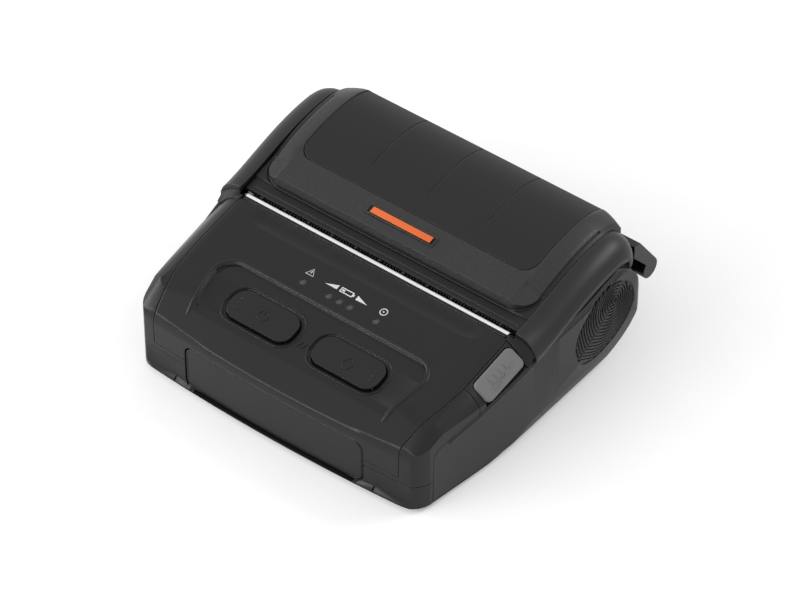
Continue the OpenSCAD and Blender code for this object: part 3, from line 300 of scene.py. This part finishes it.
case_black = plastic("case_plastic", (0.0062, 0.0062, 0.0065), 0.36, 0.0005)
slot_size = (0.0006, 0.003, 0.015)
slot_middle = (0.0456, -0.0690, 0.0105)
slot_cutter = bar(slot_size, slot_middle, rim=0.0002)
left_cutter = slot_cutter.copy()
bmesh.ops.scale(left_cutter, vec=(-1, 1, 1), verts=left_cutter.verts)
bmesh.ops.reverse_faces(left_cutter, faces=left_cutter.faces)
slot_cutter = joined(slot_cutter, left_cutter)
moulding("lower_case", carved(merged("lower_case"), slot_cutter), case_black)


# Upper case corners: the black shell on both sides of the control panel, from the same grain.
# A sill at the rear edge of each runs in under the cover's cheek and closes the gap there.
front_y = -0.06825
above = 0.08


def skin_of(*nodes):
    """The surface of CAD nodes, on which points are looked up."""
    whole = bmesh.new()
    for node in nodes:
        whole.from_mesh(frame["nodes"][node].data)
    tree = BVHTree.FromBMesh(whole)
    whole.free()
    return tree


def height(tree, x, y):
    return tree.ray_cast(Vector((x, y, above)), Vector((0, 0, -1)))[0].z


sill_x = 0.0658
sill_half_w = 0.0053
cheek_inner_x = 0.0631
sill_front = front_y + 0.0567
sill_rear = front_y + 0.0610
sill_rear_open = front_y + 0.0584
shoulder_edge = front_y + 0.0568
cheek_edge = front_y + 0.0612
sill_sink = 0.0003
cheek_room = 0.0024
sill_t = 0.0008
upper_shape = merged("upper_case")
shoulder_skin = skin_of("upper_case", "open_bezel", "side_guard_left", "side_guard_right",
                        "front_panel")
cheek_skin = skin_of("cover_cheek_left", "cover_cheek_right")
for side in (-1, 1):
    sill = bmesh.new()
    bmesh.ops.create_grid(sill, x_segments=12, y_segments=1, size=1)
    for vert in sill.verts:
        x = side * (sill_x + sill_half_w * vert.co.x)
        front_z = height(shoulder_skin, x, shoulder_edge) - sill_sink
        if vert.co.y < 0:
            vert.co = (x, sill_front, front_z)
        elif abs(x) > cheek_inner_x:
            vert.co = (x, sill_rear, height(cheek_skin, x, cheek_edge) - cheek_room)
        else:
            vert.co = (x, sill_rear_open, front_z + sill_sink)
    bmesh.ops.recalc_face_normals(sill, faces=sill.faces)
    if sill.faces[:][0].normal.z > 0:
        bmesh.ops.reverse_faces(sill, faces=sill.faces)
    bmesh.ops.solidify(sill, geom=sill.faces[:], thickness=sill_t)
    bmesh.ops.recalc_face_normals(sill, faces=sill.faces)
    upper_shape = joined(upper_shape, sill)
moulding("upper_case", upper_shape, case_black)

# Bezel: its own black moulding round the open button, clipped in from below.
# It has the same grain as the shell that it sits in.
moulding("open_bezel", merged("open_bezel"), case_black)

# Control panel: one black moulding with a sunk field, two deeper rings for the buttons and a
# shallow trough along the tear bar. A rolled lip runs round the field, and fine beads round the
# rings. A narrow ledge stands before the tear bar.
panel_black = plastic("panel_plastic", (0.0062, 0.0062, 0.0065), 0.34, 0.0008)
panel_skin = skin_of("front_panel")
field_half_w = 0.0420
field_splay = 0.000196
field_corner_x = 0.0395
field_corner_y = 0.0255
field_corner_r = 0.0075
field_fade_y = 0.0095
field_fade = 0.12
button_spot = Vector((0.0195, front_y + 0.0194, 0.0353))
button_turn = Matrix.Rotation(math.radians(14), 4, "X")
button_straight_x = 0.0096
button_straight_y = 0.0013
button_round_r = 0.0067
ring_points = 40
ledge_size = (0.1196, 0.0013, 0.0012)
ledge_middle = (0, front_y + 0.0580, 0.0428)


def bead(name, paths, radius, finish, body, closed=False, sides=2):
    """A thin rounded line along each path, such as an embossed symbol."""
    line = bpy.data.curves.new(name, "CURVE")
    line.dimensions = "3D"
    line.bevel_depth = radius
    line.bevel_resolution = sides
    line.use_fill_caps = True
    for path in paths:
        run = line.splines.new("POLY")
        run.points.add(len(path) - 1)
        run.use_cyclic_u = closed
        for point, place in zip(run.points, path):
            point.co = (*place, 1)
    holder = bpy.data.objects.new(name, line)
    scene.collection.objects.link(holder)
    drawn = holder.evaluated_get(bpy.context.evaluated_depsgraph_get())
    shape = bmesh.new()
    shape.from_mesh(bpy.data.meshes.new_from_object(drawn))
    bpy.data.objects.remove(holder)
    bmesh.ops.remove_doubles(shape, verts=shape.verts, dist=1e-7)
    bmesh.ops.recalc_face_normals(shape, faces=shape.faces)
    return piece(name, shape, finish, body, 60)


def on_panel(x, y):
    """The point of the control panel's skin under a place seen from above."""
    return panel_skin.ray_cast(Vector((x, y, above)), Vector((0, 0, -1)))[0]


def field_line(out, sink):
    """The sunk field's outline, moved outwards, on the panel's skin; it fades at the front."""
    corner_r = field_corner_r + out
    half = [(field_half_w + out + field_splay * y, y / 1000) for y in (7, 9, 11, 14, 17, 20, 23)]
    half += [(field_corner_x + corner_r * math.cos(a), field_corner_y + corner_r * math.sin(a))
             for a in (math.radians(9 * k) for k in range(11))]
    run = []
    for x, y in [(-x, y) for x, y in half] + half[::-1]:
        fade = max(0.0, field_fade_y - y) * field_fade
        run.append(on_panel(x, front_y + y) - Vector((0, 0, sink + fade)))
    return run


def button_place(side):
    """Where a button's middle lies and how it is tilted; side is -1 for power and 1 for feed."""
    return Matrix.Translation((side * button_spot.x, button_spot.y, button_spot.z)) @ button_turn


def ring_line(side, out):
    """The outline round a button, on the panel's skin."""
    round_r = button_round_r + out
    run = []
    for k in range(ring_points):
        a = math.tau * (k + 0.5) / ring_points
        x = math.copysign(button_straight_x, math.cos(a)) + round_r * math.cos(a)
        y = math.copysign(button_straight_y, math.sin(a)) + round_r * math.sin(a)
        spot = button_place(side) @ Vector((x, y, 0))
        run.append(on_panel(spot.x, spot.y))
    return run


panel_ledge = bar(ledge_size, ledge_middle, rim=0.0002)
moulding("front_panel", joined(merged("front_panel"), panel_ledge), panel_black)
bead("field_rim", [field_line(0.0011, 0.0006)], 0.0010, panel_black, "case", sides=4)
for side, name in ((-1, "power_ring"), (1, "feed_ring")):
    bead(name, [ring_line(side, 0.0004)], 0.00032, panel_black, "case", closed=True)

# Ticks: two short slanting strokes stand between the buttons.
# They are moulded with the panel.
tick_half = (0.0007, 0.0014)
tick_y = front_y + 0.0170
tick_paths = [[on_panel(x + tick_half[0] * end, tick_y + tick_half[1] * end)
               + Vector((0, 0, 0.00005)) for end in (-1, 1)] for x in (-0.0008, 0.0012)]
bead("panel_ticks", tick_paths, 0.00022, case_black, "case")

# Printed marks: thin white ink above the lamps, laid on the panel's skin. They are plain signs:
# an error triangle, a battery between two wedges, and a ring for the state.
ink = Finish(bpy.data.materials.new("white_ink"))
ink_wear = ink.noise(ink.place(), 2500.0, 2.0)
white_ink = ink.show(ink.shader(
    Base_Color=ink.blend(ink_wear, grey(0.42), grey(0.8)), Roughness=0.5 + 0.2 * ink_wear))
ink_lift = Vector((0, 0, 0.00004))
sign_y = front_y + 0.0432
sign_r = 0.00022
error_x = -0.0166
error_size = 0.0019
state_x = 0.0166
state_size = 0.0014


def printed(name, outlines, body="case"):
    """Flat shapes of ink laid on the panel: each outline is filled and dropped on the skin."""
    shape = bmesh.new()
    for outline in outlines:
        shape.faces.new([shape.verts.new((x, y, 0)) for x, y in outline])
    bmesh.ops.recalc_face_normals(shape, faces=shape.faces)
    for face in [f for f in shape.faces if f.normal.z < 0]:
        face.normal_flip()
    for vert in shape.verts:
        vert.co = on_panel(vert.co.x, vert.co.y) + ink_lift
    piece(name, shape, white_ink, body)


def block(left, right, low, high):
    """A filled rectangle; low and high are measured from the signs' middle line."""
    return [(left, sign_y + low), (right, sign_y + low),
            (right, sign_y + high), (left, sign_y + high)]


stroke_w = 0.00042
cell_left, cell_right, cell_half = -0.0030, 0.0026, 0.0011
inner_half = cell_half - stroke_w
printed("battery_sign", [
    block(cell_left, cell_right, -cell_half, -inner_half),
    block(cell_left, cell_right, inner_half, cell_half),
    block(cell_left, cell_left + stroke_w, -inner_half, inner_half),
    block(cell_right - stroke_w, cell_right, -inner_half, inner_half),
    block(cell_right, 0.0032, -0.0005, 0.0005),
    block(-0.0023, -0.0010, -0.0004, 0.0004)])
printed("battery_wedges", [
    [(-0.0094, sign_y - 0.0009), (-0.0042, sign_y - 0.0009), (-0.0042, sign_y + 0.0011)],
    [(0.0044, sign_y + 0.0009), (0.0044, sign_y - 0.0011), (0.0096, sign_y - 0.0009)]])
triangle = [(error_x + error_size * math.cos(a), sign_y + error_size * math.sin(a)) for a in
            (math.radians(90), math.radians(210), math.radians(330))]
bead("error_sign", [[on_panel(x, y) for x, y in triangle]], sign_r, white_ink, "case",
     closed=True)
bead("error_stroke", [[on_panel(error_x, sign_y - 0.0001), on_panel(error_x, sign_y + 0.0009)]],
     sign_r, white_ink, "case")
state_ring = [on_panel(state_x + state_size * math.cos(a), sign_y + state_size * math.sin(a))
              for a in (math.tau * k / 24 for k in range(24))]
bead("state_sign", [state_ring], sign_r, white_ink, "case", closed=True)
bead("state_point", [[on_panel(0.0163, sign_y), on_panel(0.0169, sign_y)]], 0.0003, white_ink,
     "case")

# Lamp guides: short rods of clear plastic that carry the lamps' light up to the panel.
# They stand in close holes in the panel.
lamp_finish = Finish(bpy.data.materials.new("lamp_clear"))
haze = lamp_finish.noise(lamp_finish.place(), 900.0, 2.0)
lamp_clear = lamp_finish.show(lamp_finish.shader(
    Base_Color=lamp_finish.blend(haze, grey(0.008), grey(0.03)), Roughness=0.15 + 0.1 * haze,
    Coat_Weight=0.6))


def carry(finish, *nodes):
    """Gives CAD nodes that are shown as they are their finish."""
    for node in nodes:
        slots = frame["nodes"][node].data.materials
        slots.clear()
        slots.append(finish)


carry(lamp_clear, "lamp_guides")

# Power and feed buttons: softly crowned black caps with embossed symbols and three raised points
# at the outer end. Each stands in its ring on a stem over a switch.
button_black = plastic("button_plastic", (0.0085, 0.0085, 0.009), 0.3, 0.0003)
cap_top = 0.0006
level = 0.0001
symbol_z = 0.00062
symbol_r = 0.00024
power_r = 0.0021
drop_r = 0.0019


def round_off(shape, width, steps, test):
    """Rounds the sharp edges whose middle passes the test."""
    edges = [e for e in shape.edges if len(e.link_faces) == 2 and e.calc_face_angle(0) > 0.6
             and test((e.verts[0].co + e.verts[1].co) / 2)]
    bmesh.ops.bevel(shape, geom=edges, offset=width, offset_type="OFFSET", affect="EDGES",
                    segments=steps, profile=0.5, material=-1, clamp_overlap=True)


def on_button(side, x, y):
    return button_place(side) @ Vector((x, y, symbol_z))


for side, node in ((-1, "power_button"), (1, "feed_button")):
    cap_shape = merged(node)
    into_panel = button_place(side).inverted()

    def top_edge(middle):
        spot = into_panel @ middle
        return abs(spot.z - cap_top) < level and (abs(spot.x) > 0.0139 or abs(spot.y) > 0.0045)

    round_off(cap_shape, 0.0009, 4, top_edge)
    moulding(node, cap_shape, button_black)
power_ring = [on_button(-1, power_r * math.sin(a), power_r * math.cos(a)) for a in
              (math.radians(k) for k in range(35, 326, 10))]
power_stroke = [on_button(-1, 0, y) for y in (0.0008, 0.0026)]
bead("power_symbol", [power_ring, power_stroke], symbol_r, button_black, "power_key")
drop = [(drop_r * math.cos(a), -0.0009 + drop_r * math.sin(a)) for a in
        (math.radians(k) for k in range(180, 361, 15))]
drop += [(drop_r, -0.0002), (0, 0.0027), (-drop_r, -0.0002)]
bead("feed_symbol", [[on_button(1, x, y) for x, y in drop]], symbol_r, button_black, "feed_key",
     closed=True)

# Open button: a light grey cap on the right shoulder. A small comb of strokes over a slanting
# line is embossed on it, which stands for the opened cover.
grey_plastic = plastic("open_button_plastic", (0.165, 0.165, 0.17), 0.42, 0.0003)
open_shape = merged("open_button")
open_spot = Vector((0.0665, -0.02305, 0.0382))
open_tilt = Matrix.Rotation(math.radians(10), 4, "X")
open_lean = Matrix.Rotation(math.radians(38), 4, "Y")
open_place = Matrix.Translation(open_spot) @ open_tilt @ open_lean
into_open = open_place.inverted()
round_off(open_shape, 0.0006, 3, lambda middle: abs((into_open @ middle).z - cap_top) < level)
moulding("open_button", open_shape, grey_plastic)
tooth_pitch = 0.0027
open_strokes = [[(0.0010, -0.0044 + tooth_pitch * k), (-0.0020, -0.0048 + tooth_pitch * k)]
                for k in range(4)]
open_strokes += [[(0.0010, -0.0066), (0.0010, 0.0062)],
                 [(0.0026, -0.0058), (0.0020, -0.0002), (0.0004, 0.0068)]]
open_paths = [[open_place @ Vector((x, y, symbol_z)) for x, y in run] for run in open_strokes]
bead("open_symbol", open_paths, symbol_r, grey_plastic, "open_key")


# Tear bar: a strip of bright stainless steel with a fine saw edge towards the paper slot.
# It is brushed along its length and set on edge in the panel.
def brushed(name, tone, rough, stretch):
    made = Finish(bpy.data.materials.new(name))
    along = made.node("ShaderNodeMapping", {}, {"Vector": made.place(), "Scale": stretch})
    lines = made.noise(along, 1500.0, 2.0)
    cloud = made.noise(made.place(), 60.0, 3.0)
    low, high = [tuple(c * share for c in tone) + (1,) for share in (0.9, 1.05)]
    scratches = made.node("ShaderNodeBump", {},
                          {"Strength": 0.2, "Distance": 0.00001, "Height": lines})
    return made.show(made.shader(Base_Color=made.blend(cloud, low, high), Metallic=1.0,
                                 Roughness=rough - 0.06 + 0.12 * lines, Normal=scratches))


tear_steel = brushed("tear_steel", (0.86, 0.86, 0.87), 0.42, (0.05, 1, 1))
saw_teeth = 199
saw_half_l = 0.0598
saw_front = 0.0588
saw_root = 0.0599
saw_tip = 0.0605
saw_top = 0.0434
saw_t = 0.0007
flange_size = (0.1190, 0.0010, 0.0016)
flange_middle = (0, front_y + 0.0594, 0.0423)
saw = bmesh.new()
bmesh.ops.create_grid(saw, x_segments=2 * saw_teeth, y_segments=1, size=1)
for vert in saw.verts:
    place = round((vert.co.x + 1) * saw_teeth)
    back = saw_root if place % 2 else saw_tip
    vert.co = (saw_half_l * vert.co.x, front_y + (saw_front if vert.co.y < 0 else back), saw_top)


def pulled_out(shape, faces, way):
    """Extrudes faces along a vector and gives back the new points."""
    grown = bmesh.ops.extrude_face_region(shape, geom=faces)["geom"]
    verts = [v for v in grown if isinstance(v, bmesh.types.BMVert)]
    bmesh.ops.translate(shape, vec=way, verts=verts)
    return verts


pulled_out(saw, saw.faces[:], (0, 0, -saw_t))
bmesh.ops.recalc_face_normals(saw, faces=saw.faces)
moulding("tear_bar", joined(saw, bar(flange_size, flange_middle)), tear_steel)

# Side guards: slightly softer, warmer black skins over the sides, with a rolled upper rim. Each
# has an oval grip of nested ribs, shaped like drops, that lie flush in a shallow pocket.
guard_black = plastic("guard_plastic", (0.0085, 0.0080, 0.0074), 0.42, 0.0009, gloss=0.36)
beside = 0.1
grip_middle = Vector((0, front_y + 0.0993, 0.0270))
grip_depth = 0.0006
grip_mean = 0.0164
grip_stretch = 0.0011
grip_lean = math.radians(27)
pocket_rings = 10
pocket_unit = 0.001
rib_r = 0.0004
rib_pitch = 0.00135
rib_levels = 21
rib_step = 0.0007
rib_from = Vector((0, front_y + 0.1050, 0.0340))
rib_slant = math.radians(19.5)
rib_tip = math.radians(215.5)
rim_from = front_y + 0.0175
rim_step = 0.0019
rim_points = 52
rim_start_z = 0.050
rim_drop = 0.0002


def grip_reach(heading):
    """How far the grip's oval reaches from its middle; it leans towards the rear top."""
    return grip_mean + grip_stretch * math.cos(2 * (heading - grip_lean))


def aside(heading, reach):
    return Vector((0, reach * math.cos(heading), reach * math.sin(heading)))


for side, node in ((1, "side_guard_right"), (-1, "side_guard_left")):
    guard_shape = merged(node)
    guard_skin = BVHTree.FromBMesh(guard_shape)

    def side_hit(y, z):
        return guard_skin.ray_cast(Vector((side * beside, y, z)), Vector((-side, 0, 0)))[0]

    def in_guard(spot, depth):
        """The point under the guard's skin at a spot seen from the side."""
        return Vector((side_hit(spot.y, spot.z).x - side * depth, spot.y, spot.z))

    pocket = bmesh.new()
    spoke = [pocket.verts.new(grip_middle + aside(0, pocket_unit * k))
             for k in range(pocket_rings + 1)]
    for pair in zip(spoke, spoke[1:]):
        pocket.edges.new(pair)
    bmesh.ops.spin(pocket, geom=pocket.verts[:] + pocket.edges[:], cent=grip_middle,
                   axis=(1, 0, 0), angle=math.tau, steps=64, use_merge=True)
    bmesh.ops.remove_doubles(pocket, verts=pocket.verts, dist=1e-6)
    for vert in pocket.verts:
        arm = vert.co - grip_middle
        heading = math.atan2(arm.z, arm.y)
        reach = arm.length * grip_reach(heading) / 0.01
        vert.co = in_guard(grip_middle + aside(heading, reach), grip_depth)
    pulled_out(pocket, pocket.faces[:], (side * 0.003, 0, 0))
    bmesh.ops.recalc_face_normals(pocket, faces=pocket.faces)
    moulding(node, carved(guard_shape, pocket), guard_black, 35)

    rim_line = []
    for k in range(rim_points):
        y = rim_from + rim_step * k
        z = rim_start_z
        while not side_hit(y, z):
            z -= rim_drop
        rim_line.append(in_guard(Vector((0, y, z - 0.0013)), 0.0008))
    bead(node + "_rim", [rim_line], 0.0012, guard_black, "case", sides=4)

    ribs = []
    for ring in range(1, rib_levels + 1):
        reach = ring * rib_pitch
        tip = aside(rib_tip, reach / math.cos(rib_slant))
        bends = [tip] + [aside(math.radians(235 + 8 * k), reach) for k in range(41)] + [tip]
        run = []
        for start, end in zip(bends, bends[1:]):
            steps = max(1, round((end - start).length / rib_step))
            for k in range(steps):
                spot = rib_from + start.lerp(end, k / steps)
                arm = spot - grip_middle
                if arm.length < grip_reach(math.atan2(arm.z, arm.y)) - rib_step:
                    run.append(in_guard(spot, rib_r * 1.05))
                elif run:
                    ribs.append(run)
                    run = []
        if run:
            ribs.append(run)
    bead(node + "_grip", [run for run in ribs if len(run) > 1], rib_r, guard_black, "case",
         sides=1)

# Cover: the black shell that opens over the roll, with a grained border round a bed. The cheeks
# beside it ride on the cover and are of the guards' softer black.
bed_x = 0.0525
bed_y = 0.0762
bed_corner_r = 0.008
groove_corner_r = 0.0083
quarter = [math.radians(7.5 * k) for k in range(13)]
slope_front = front_y + 0.0660
slope_run = (0, 0.0119, 0.00308)
border_z = 0.0451
border_rise = 0.291
border_from = 0.067


def border(made, where):
    """One inside the raised bed's rounded outline, nought outside it."""
    spot = made.node("ShaderNodeSeparateXYZ", {}, {"Vector": where})
    along = made.node("ShaderNodeMath", {"operation": "ABSOLUTE"}, {0: spot})
    across = Signal(made, spot.socket.node.outputs[1])
    over = made.node("ShaderNodeMath", {"operation": "MAXIMUM"}, {0: along - bed_x, 1: 0.0})
    ahead = made.node("ShaderNodeMath", {"operation": "MAXIMUM"},
                      {0: (front_y + bed_y) - across, 1: 0.0})
    return made.node("ShaderNodeMath", {"operation": "LESS_THAN"},
                     {0: over * over + ahead * ahead, 1: bed_corner_r ** 2})


shell_black = plastic("shell_plastic", (0.0068, 0.0068, 0.0070), 0.4, 0.0005, patch=border)
shell_shape = merged("cover_shell")
for side in (-1, 1):
    slope = bmesh.new()
    profile = [slope.verts.new((side * x, slope_front, z)) for x, z in (
        (0.0534, 0.0484), (0.0540, 0.0479), (0.0560, 0.0475), (0.0580, 0.0469), (0.0600, 0.0461),
        (0.0620, 0.0452), (0.0632, 0.0446), (0.0632, 0.0524), (0.0534, 0.0524))]
    pulled_out(slope, [slope.faces.new(profile)], slope_run)
    bmesh.ops.recalc_face_normals(slope, faces=slope.faces)
    shell_shape = carved(shell_shape, slope)
    outer = bmesh.new()
    bend = [(bed_x + bed_corner_r * math.sin(a), bed_y - bed_corner_r * math.cos(a))
            for a in quarter]
    corner = [outer.verts.new((side * x, front_y + y, 0.060)) for x, y in
              [(bed_x, 0.0669)] + bend + [(0.0605, 0.0778), (0.0634, 0.0778), (0.0634, 0.0669)]]
    for vert in pulled_out(outer, [outer.faces.new(corner)], (0, 0, 0)):
        vert.co.z = border_z + border_rise * (vert.co.y - front_y - border_from)
    bmesh.ops.recalc_face_normals(outer, faces=outer.faces)
    shell_shape = carved(shell_shape, outer)
bed_skin = BVHTree.FromBMesh(shell_shape)
step_line = [(0.0608, bed_y + 0.0018 * k) for k in range(20, -1, -1)]
step_line += [(bed_x + groove_corner_r * math.sin(a), bed_y - groove_corner_r * math.cos(a))
              for a in quarter[::-1]]
slot_line = [(0.0603, 0.0630), (0.0600, 0.0638), (0.0593, 0.0642)]


def whole_line(half):
    """A line over the cover from its right half, given from above, and that half's mirror."""
    left = [(-x, y) for x, y in half]
    return [Vector((x, front_y + y, height(bed_skin, x, front_y + y)))
            for x, y in left + half[::-1]]


def tube(path, radius):
    """A round rod along a path, as a cutter."""
    blank = bead("blank", [path], radius, shell_black, "case")
    rod = bmesh.new()
    rod.from_mesh(blank.data)
    bpy.data.objects.remove(blank)
    return rod


shell_shape = carved(shell_shape, tube(whole_line(step_line), 0.00045))
shell_shape = carved(shell_shape, tube(whole_line(slot_line), 0.00024))
moulding("cover_shell", shell_shape, shell_black)
for node in ("cover_cheek_left", "cover_cheek_right"):
    moulding(node, merged(node), guard_black)

# Matte plate: a smoother dark grey plate let into the cover, with three shallow grooves.
# A thin film of glue holds it in the bed.
plate_black = plastic("plate_plastic", (0.0135, 0.0132, 0.0130), 0.5, 0.0006, grain=0.0003,
                      gloss=0.22)
moulding("cover_plate", merged("cover_plate"), plate_black)

# Badge: a plain orange panel without any word on it, in a black inlay glued to the cover's ramp.
# A fine pale edge runs round the inlay.
badge_turn = Matrix.Rotation(math.radians(14.58), 4, "X")
badge_place = Matrix.Translation((0, 0.0066, 0.05073)) @ badge_turn
badge_size = (0.0272, 0.0027, 0.0002)
badge_z = 0.00041
edge_x, edge_y, edge_z = 0.0152, 0.0019, 0.00036
carry(case_black, "cover_inlay")
badge = Finish(bpy.data.materials.new("inlay_orange"))
fleck = badge.noise(badge.place(), 1800.0, 2.0)
inlay_orange = badge.show(badge.shader(
    Base_Color=badge.blend(fleck, (0.60, 0.105, 0.018, 1), (0.76, 0.15, 0.028, 1)),
    Roughness=0.35 + 0.1 * fleck))
badge_panel = bar(badge_size, badge_place @ Vector((0, 0, badge_z)),
                  badge_place.to_3x3().to_4x4(), 0.00008)
piece("badge_panel", badge_panel, inlay_orange, "cover")
badge_edge = [badge_place @ Vector((x, y, edge_z)) for x, y in
              ((-edge_x, -edge_y), (-edge_x, edge_y), (edge_x, edge_y), (edge_x, -edge_y))]
bead("badge_edge", [badge_edge], 0.00012,
             plastic("edge_line", (0.10, 0.10, 0.10), 0.4, 0.0001), "cover", closed=True)

# Paper slot: the front edge of the cover carries eleven small tabs with a fine comb between
# them, which lift the label off the platen. They are moulded with the cover's lip.
slot_lip = Vector((0, front_y + 0.0620, 0.0428))
tab_pitch = 0.0109
comb_pitch = 0.00134
for k in range(11):
    tab = bar((0.0011, 0.0013, 0.0012), slot_lip + Vector((-0.0545 + tab_pitch * k, 0, 0)),
              rim=0.0002)
    piece("slot_tab_%d" % (k + 1), tab, case_black, "cover")
comb = bmesh.new()
for k in range(88):
    tooth = slot_lip + Vector((-0.0583 + comb_pitch * k, 0.0002, -0.0007))
    comb = joined(comb, bar((0.0004, 0.0008, 0.0016), tooth, rim=0.00008))
piece("slot_comb", comb, case_black, "cover")

# Hinge: two arms of the cover's black reach back and down to a barrel, on steel pins in the
# lugs. The screws are of the same steel.
moulding("hinge_arms", merged("hinge_arms"), case_black)
steel = brushed("steel", (0.55, 0.55, 0.56), 0.34, (0.08, 1, 1))
carry(steel, "hinge_pins", "case_screws", "chassis_screws", "cover_screws")

# Battery: cells in a dark case whose end cap is the plate on the front. A fine line runs round
# the cap, and a latch holds the battery from below.
cap_face = front_y + 0.0012
cap_straight_x = 0.0366
cap_straight_z = 0.0058
cap_round_r = 0.0032
cap_middle_z = 0.01325
cap_points = 48
before = -0.09
cap_shape = merged("battery_cap")
round_off(cap_shape, 0.0007, 3, lambda middle: middle.y < cap_face)
moulding("battery_cap", cap_shape, case_black)
cap_skin = skin_of("battery_cap")
cap_line = []
for k in range(cap_points):
    a = math.tau * (k + 0.5) / cap_points
    x = math.copysign(cap_straight_x, math.cos(a)) + cap_round_r * math.cos(a)
    z = cap_middle_z + math.copysign(cap_straight_z, math.sin(a)) + cap_round_r * math.sin(a)
    face = cap_skin.ray_cast(Vector((x, before, z)), Vector((0, 1, 0)))[0]
    cap_line.append(face + Vector((0, 0.00012, 0)))
bead("cap_edge", [cap_line], 0.0003, case_black, "battery", closed=True)
carry(plastic("battery_case", (0.04, 0.04, 0.045), 0.5, 0.0004), "battery_pack")
moulding("battery_latch", merged("battery_latch"), button_black)

# Port cover: a flap of the guard's black on a barrel along its lower edge, over both sockets.
# It swings down on that barrel.
moulding("port_cover", merged("port_cover"), guard_black)

# Feet and platen: four discs of soft rubber glued into the floor, and the rubber sleeve that
# drives the labels. Both look a little dusty.
rubber_finish = Finish(bpy.data.materials.new("rubber"))
dust = rubber_finish.noise(rubber_finish.place(), 350.0, 4.0)
pores = rubber_finish.node("ShaderNodeBump", {},
                           {"Strength": 0.5, "Distance": 0.00004, "Height": dust})
rubber = rubber_finish.show(rubber_finish.shader(
    Base_Color=rubber_finish.blend(dust, grey(0.014), grey(0.028)),
    Roughness=0.75 + 0.15 * dust, Normal=pores))
carry(rubber, "rubber_feet", "platen_rubber")

# Chassis: folded steel sheet that carries the head, the motor, the lever and the platen's seats.
# The sockets' shells, the shafts and the springs are of steel too.
chassis_steel = brushed("chassis_steel", (0.5, 0.5, 0.51), 0.38, (1, 1, 0.08))
carry(chassis_steel, "chassis", "release_lever", "head_springs", "platen_shaft", "idler_stud",
      "usb_socket")
carry(brushed("motor_steel", (0.42, 0.42, 0.43), 0.4, (0.08, 1, 1)), "stepper_motor")

# Print head: a glazed ceramic strip on an aluminium heat sink, fed by an amber flexible cable.
# Fine lines along the cable are its conductors.
glaze = Finish(bpy.data.materials.new("ceramic_head"))
glaze_cloud = glaze.noise(glaze.place(), 90.0, 3.0)
ceramic = glaze.show(glaze.shader(
    Base_Color=glaze.blend(glaze_cloud, (0.62, 0.6, 0.54, 1), (0.72, 0.7, 0.65, 1)),
    Roughness=0.15 + 0.1 * glaze_cloud))
carry(ceramic, "print_head")
carry(brushed("aluminium", (0.72, 0.73, 0.74), 0.42, (0.05, 1, 1)), "heat_sink")
flex = Finish(bpy.data.materials.new("flex_amber"))
flex_lines = flex.node("ShaderNodeTexWave", {"bands_direction": "X"},
                       {"Vector": flex.place(), "Scale": 320.0})
flex_amber = flex.show(flex.shader(
    Base_Color=flex.blend(flex_lines, (0.42, 0.17, 0.03, 1), (0.6, 0.3, 0.07, 1)),
    Roughness=0.28 + 0.1 * flex_lines))
carry(flex_amber, "head_cable")

# Boards: green lacquered glass fibre with copper runs under the lacquer, and black parts on
# them. The parts are soldered on.
lacquer = Finish(bpy.data.materials.new("circuit_board"))
runs = lacquer.node("ShaderNodeTexBrick", {}, {
    "Vector": lacquer.place(), "Scale": 260.0, "Mortar Size": 0.03, "Color1": grey(0.0),
    "Color2": grey(0.0), "Mortar": grey(1.0)})
weave = lacquer.noise(lacquer.place(), 700.0, 3.0)
lacquer_green = lacquer.blend(weave, (0.008, 0.07, 0.025, 1), (0.012, 0.1, 0.04, 1))
board_green = lacquer.show(lacquer.shader(
    Base_Color=lacquer.blend(runs, lacquer_green, (0.03, 0.2, 0.07, 1)),
    Roughness=0.22 + 0.12 * weave))
carry(board_green, "main_board", "key_board", "port_board")
chip_black = plastic("chip_black", (0.018, 0.018, 0.019), 0.5, 0.0002, grain=0.0002)
carry(chip_black, "board_chips", "key_switches", "power_jack", "buzzer", "gap_sensor")

# Brass parts: the battery's spring contacts and the pinion on the motor's shaft.
# Both are bare brushed metal.
carry(brushed("brass", (0.74, 0.5, 0.2), 0.3, (0.1, 1, 1)), "battery_contacts", "motor_pinion")

# Gears and bushes: natural white nylon, moulded, with a slightly cloudy surface. The gears drive
# the platen and the guides, and the bushes seat the platen's shaft.
nylon = Finish(bpy.data.materials.new("gear_white"))
milk = nylon.noise(nylon.place(), 500.0, 3.0)
gear_white = nylon.show(nylon.shader(
    Base_Color=nylon.blend(milk, (0.62, 0.6, 0.54, 1), (0.74, 0.72, 0.66, 1)),
    Roughness=0.36 + 0.12 * milk))
carry(gear_white, "platen_gear", "idler_gear", "guide_pinion", "platen_bushes")

# Paper well, guides and bracket: plain dark mouldings inside, duller than the outer skins.
# The cover's liner is of the same plastic.
inner_black = plastic("inner_plastic", (0.02, 0.02, 0.021), 0.55, 0.0004)
for node in ("paper_well", "roll_guide_left", "roll_guide_right", "platen_bracket", "cover_liner"):
    moulding(node, merged(node), inner_black)
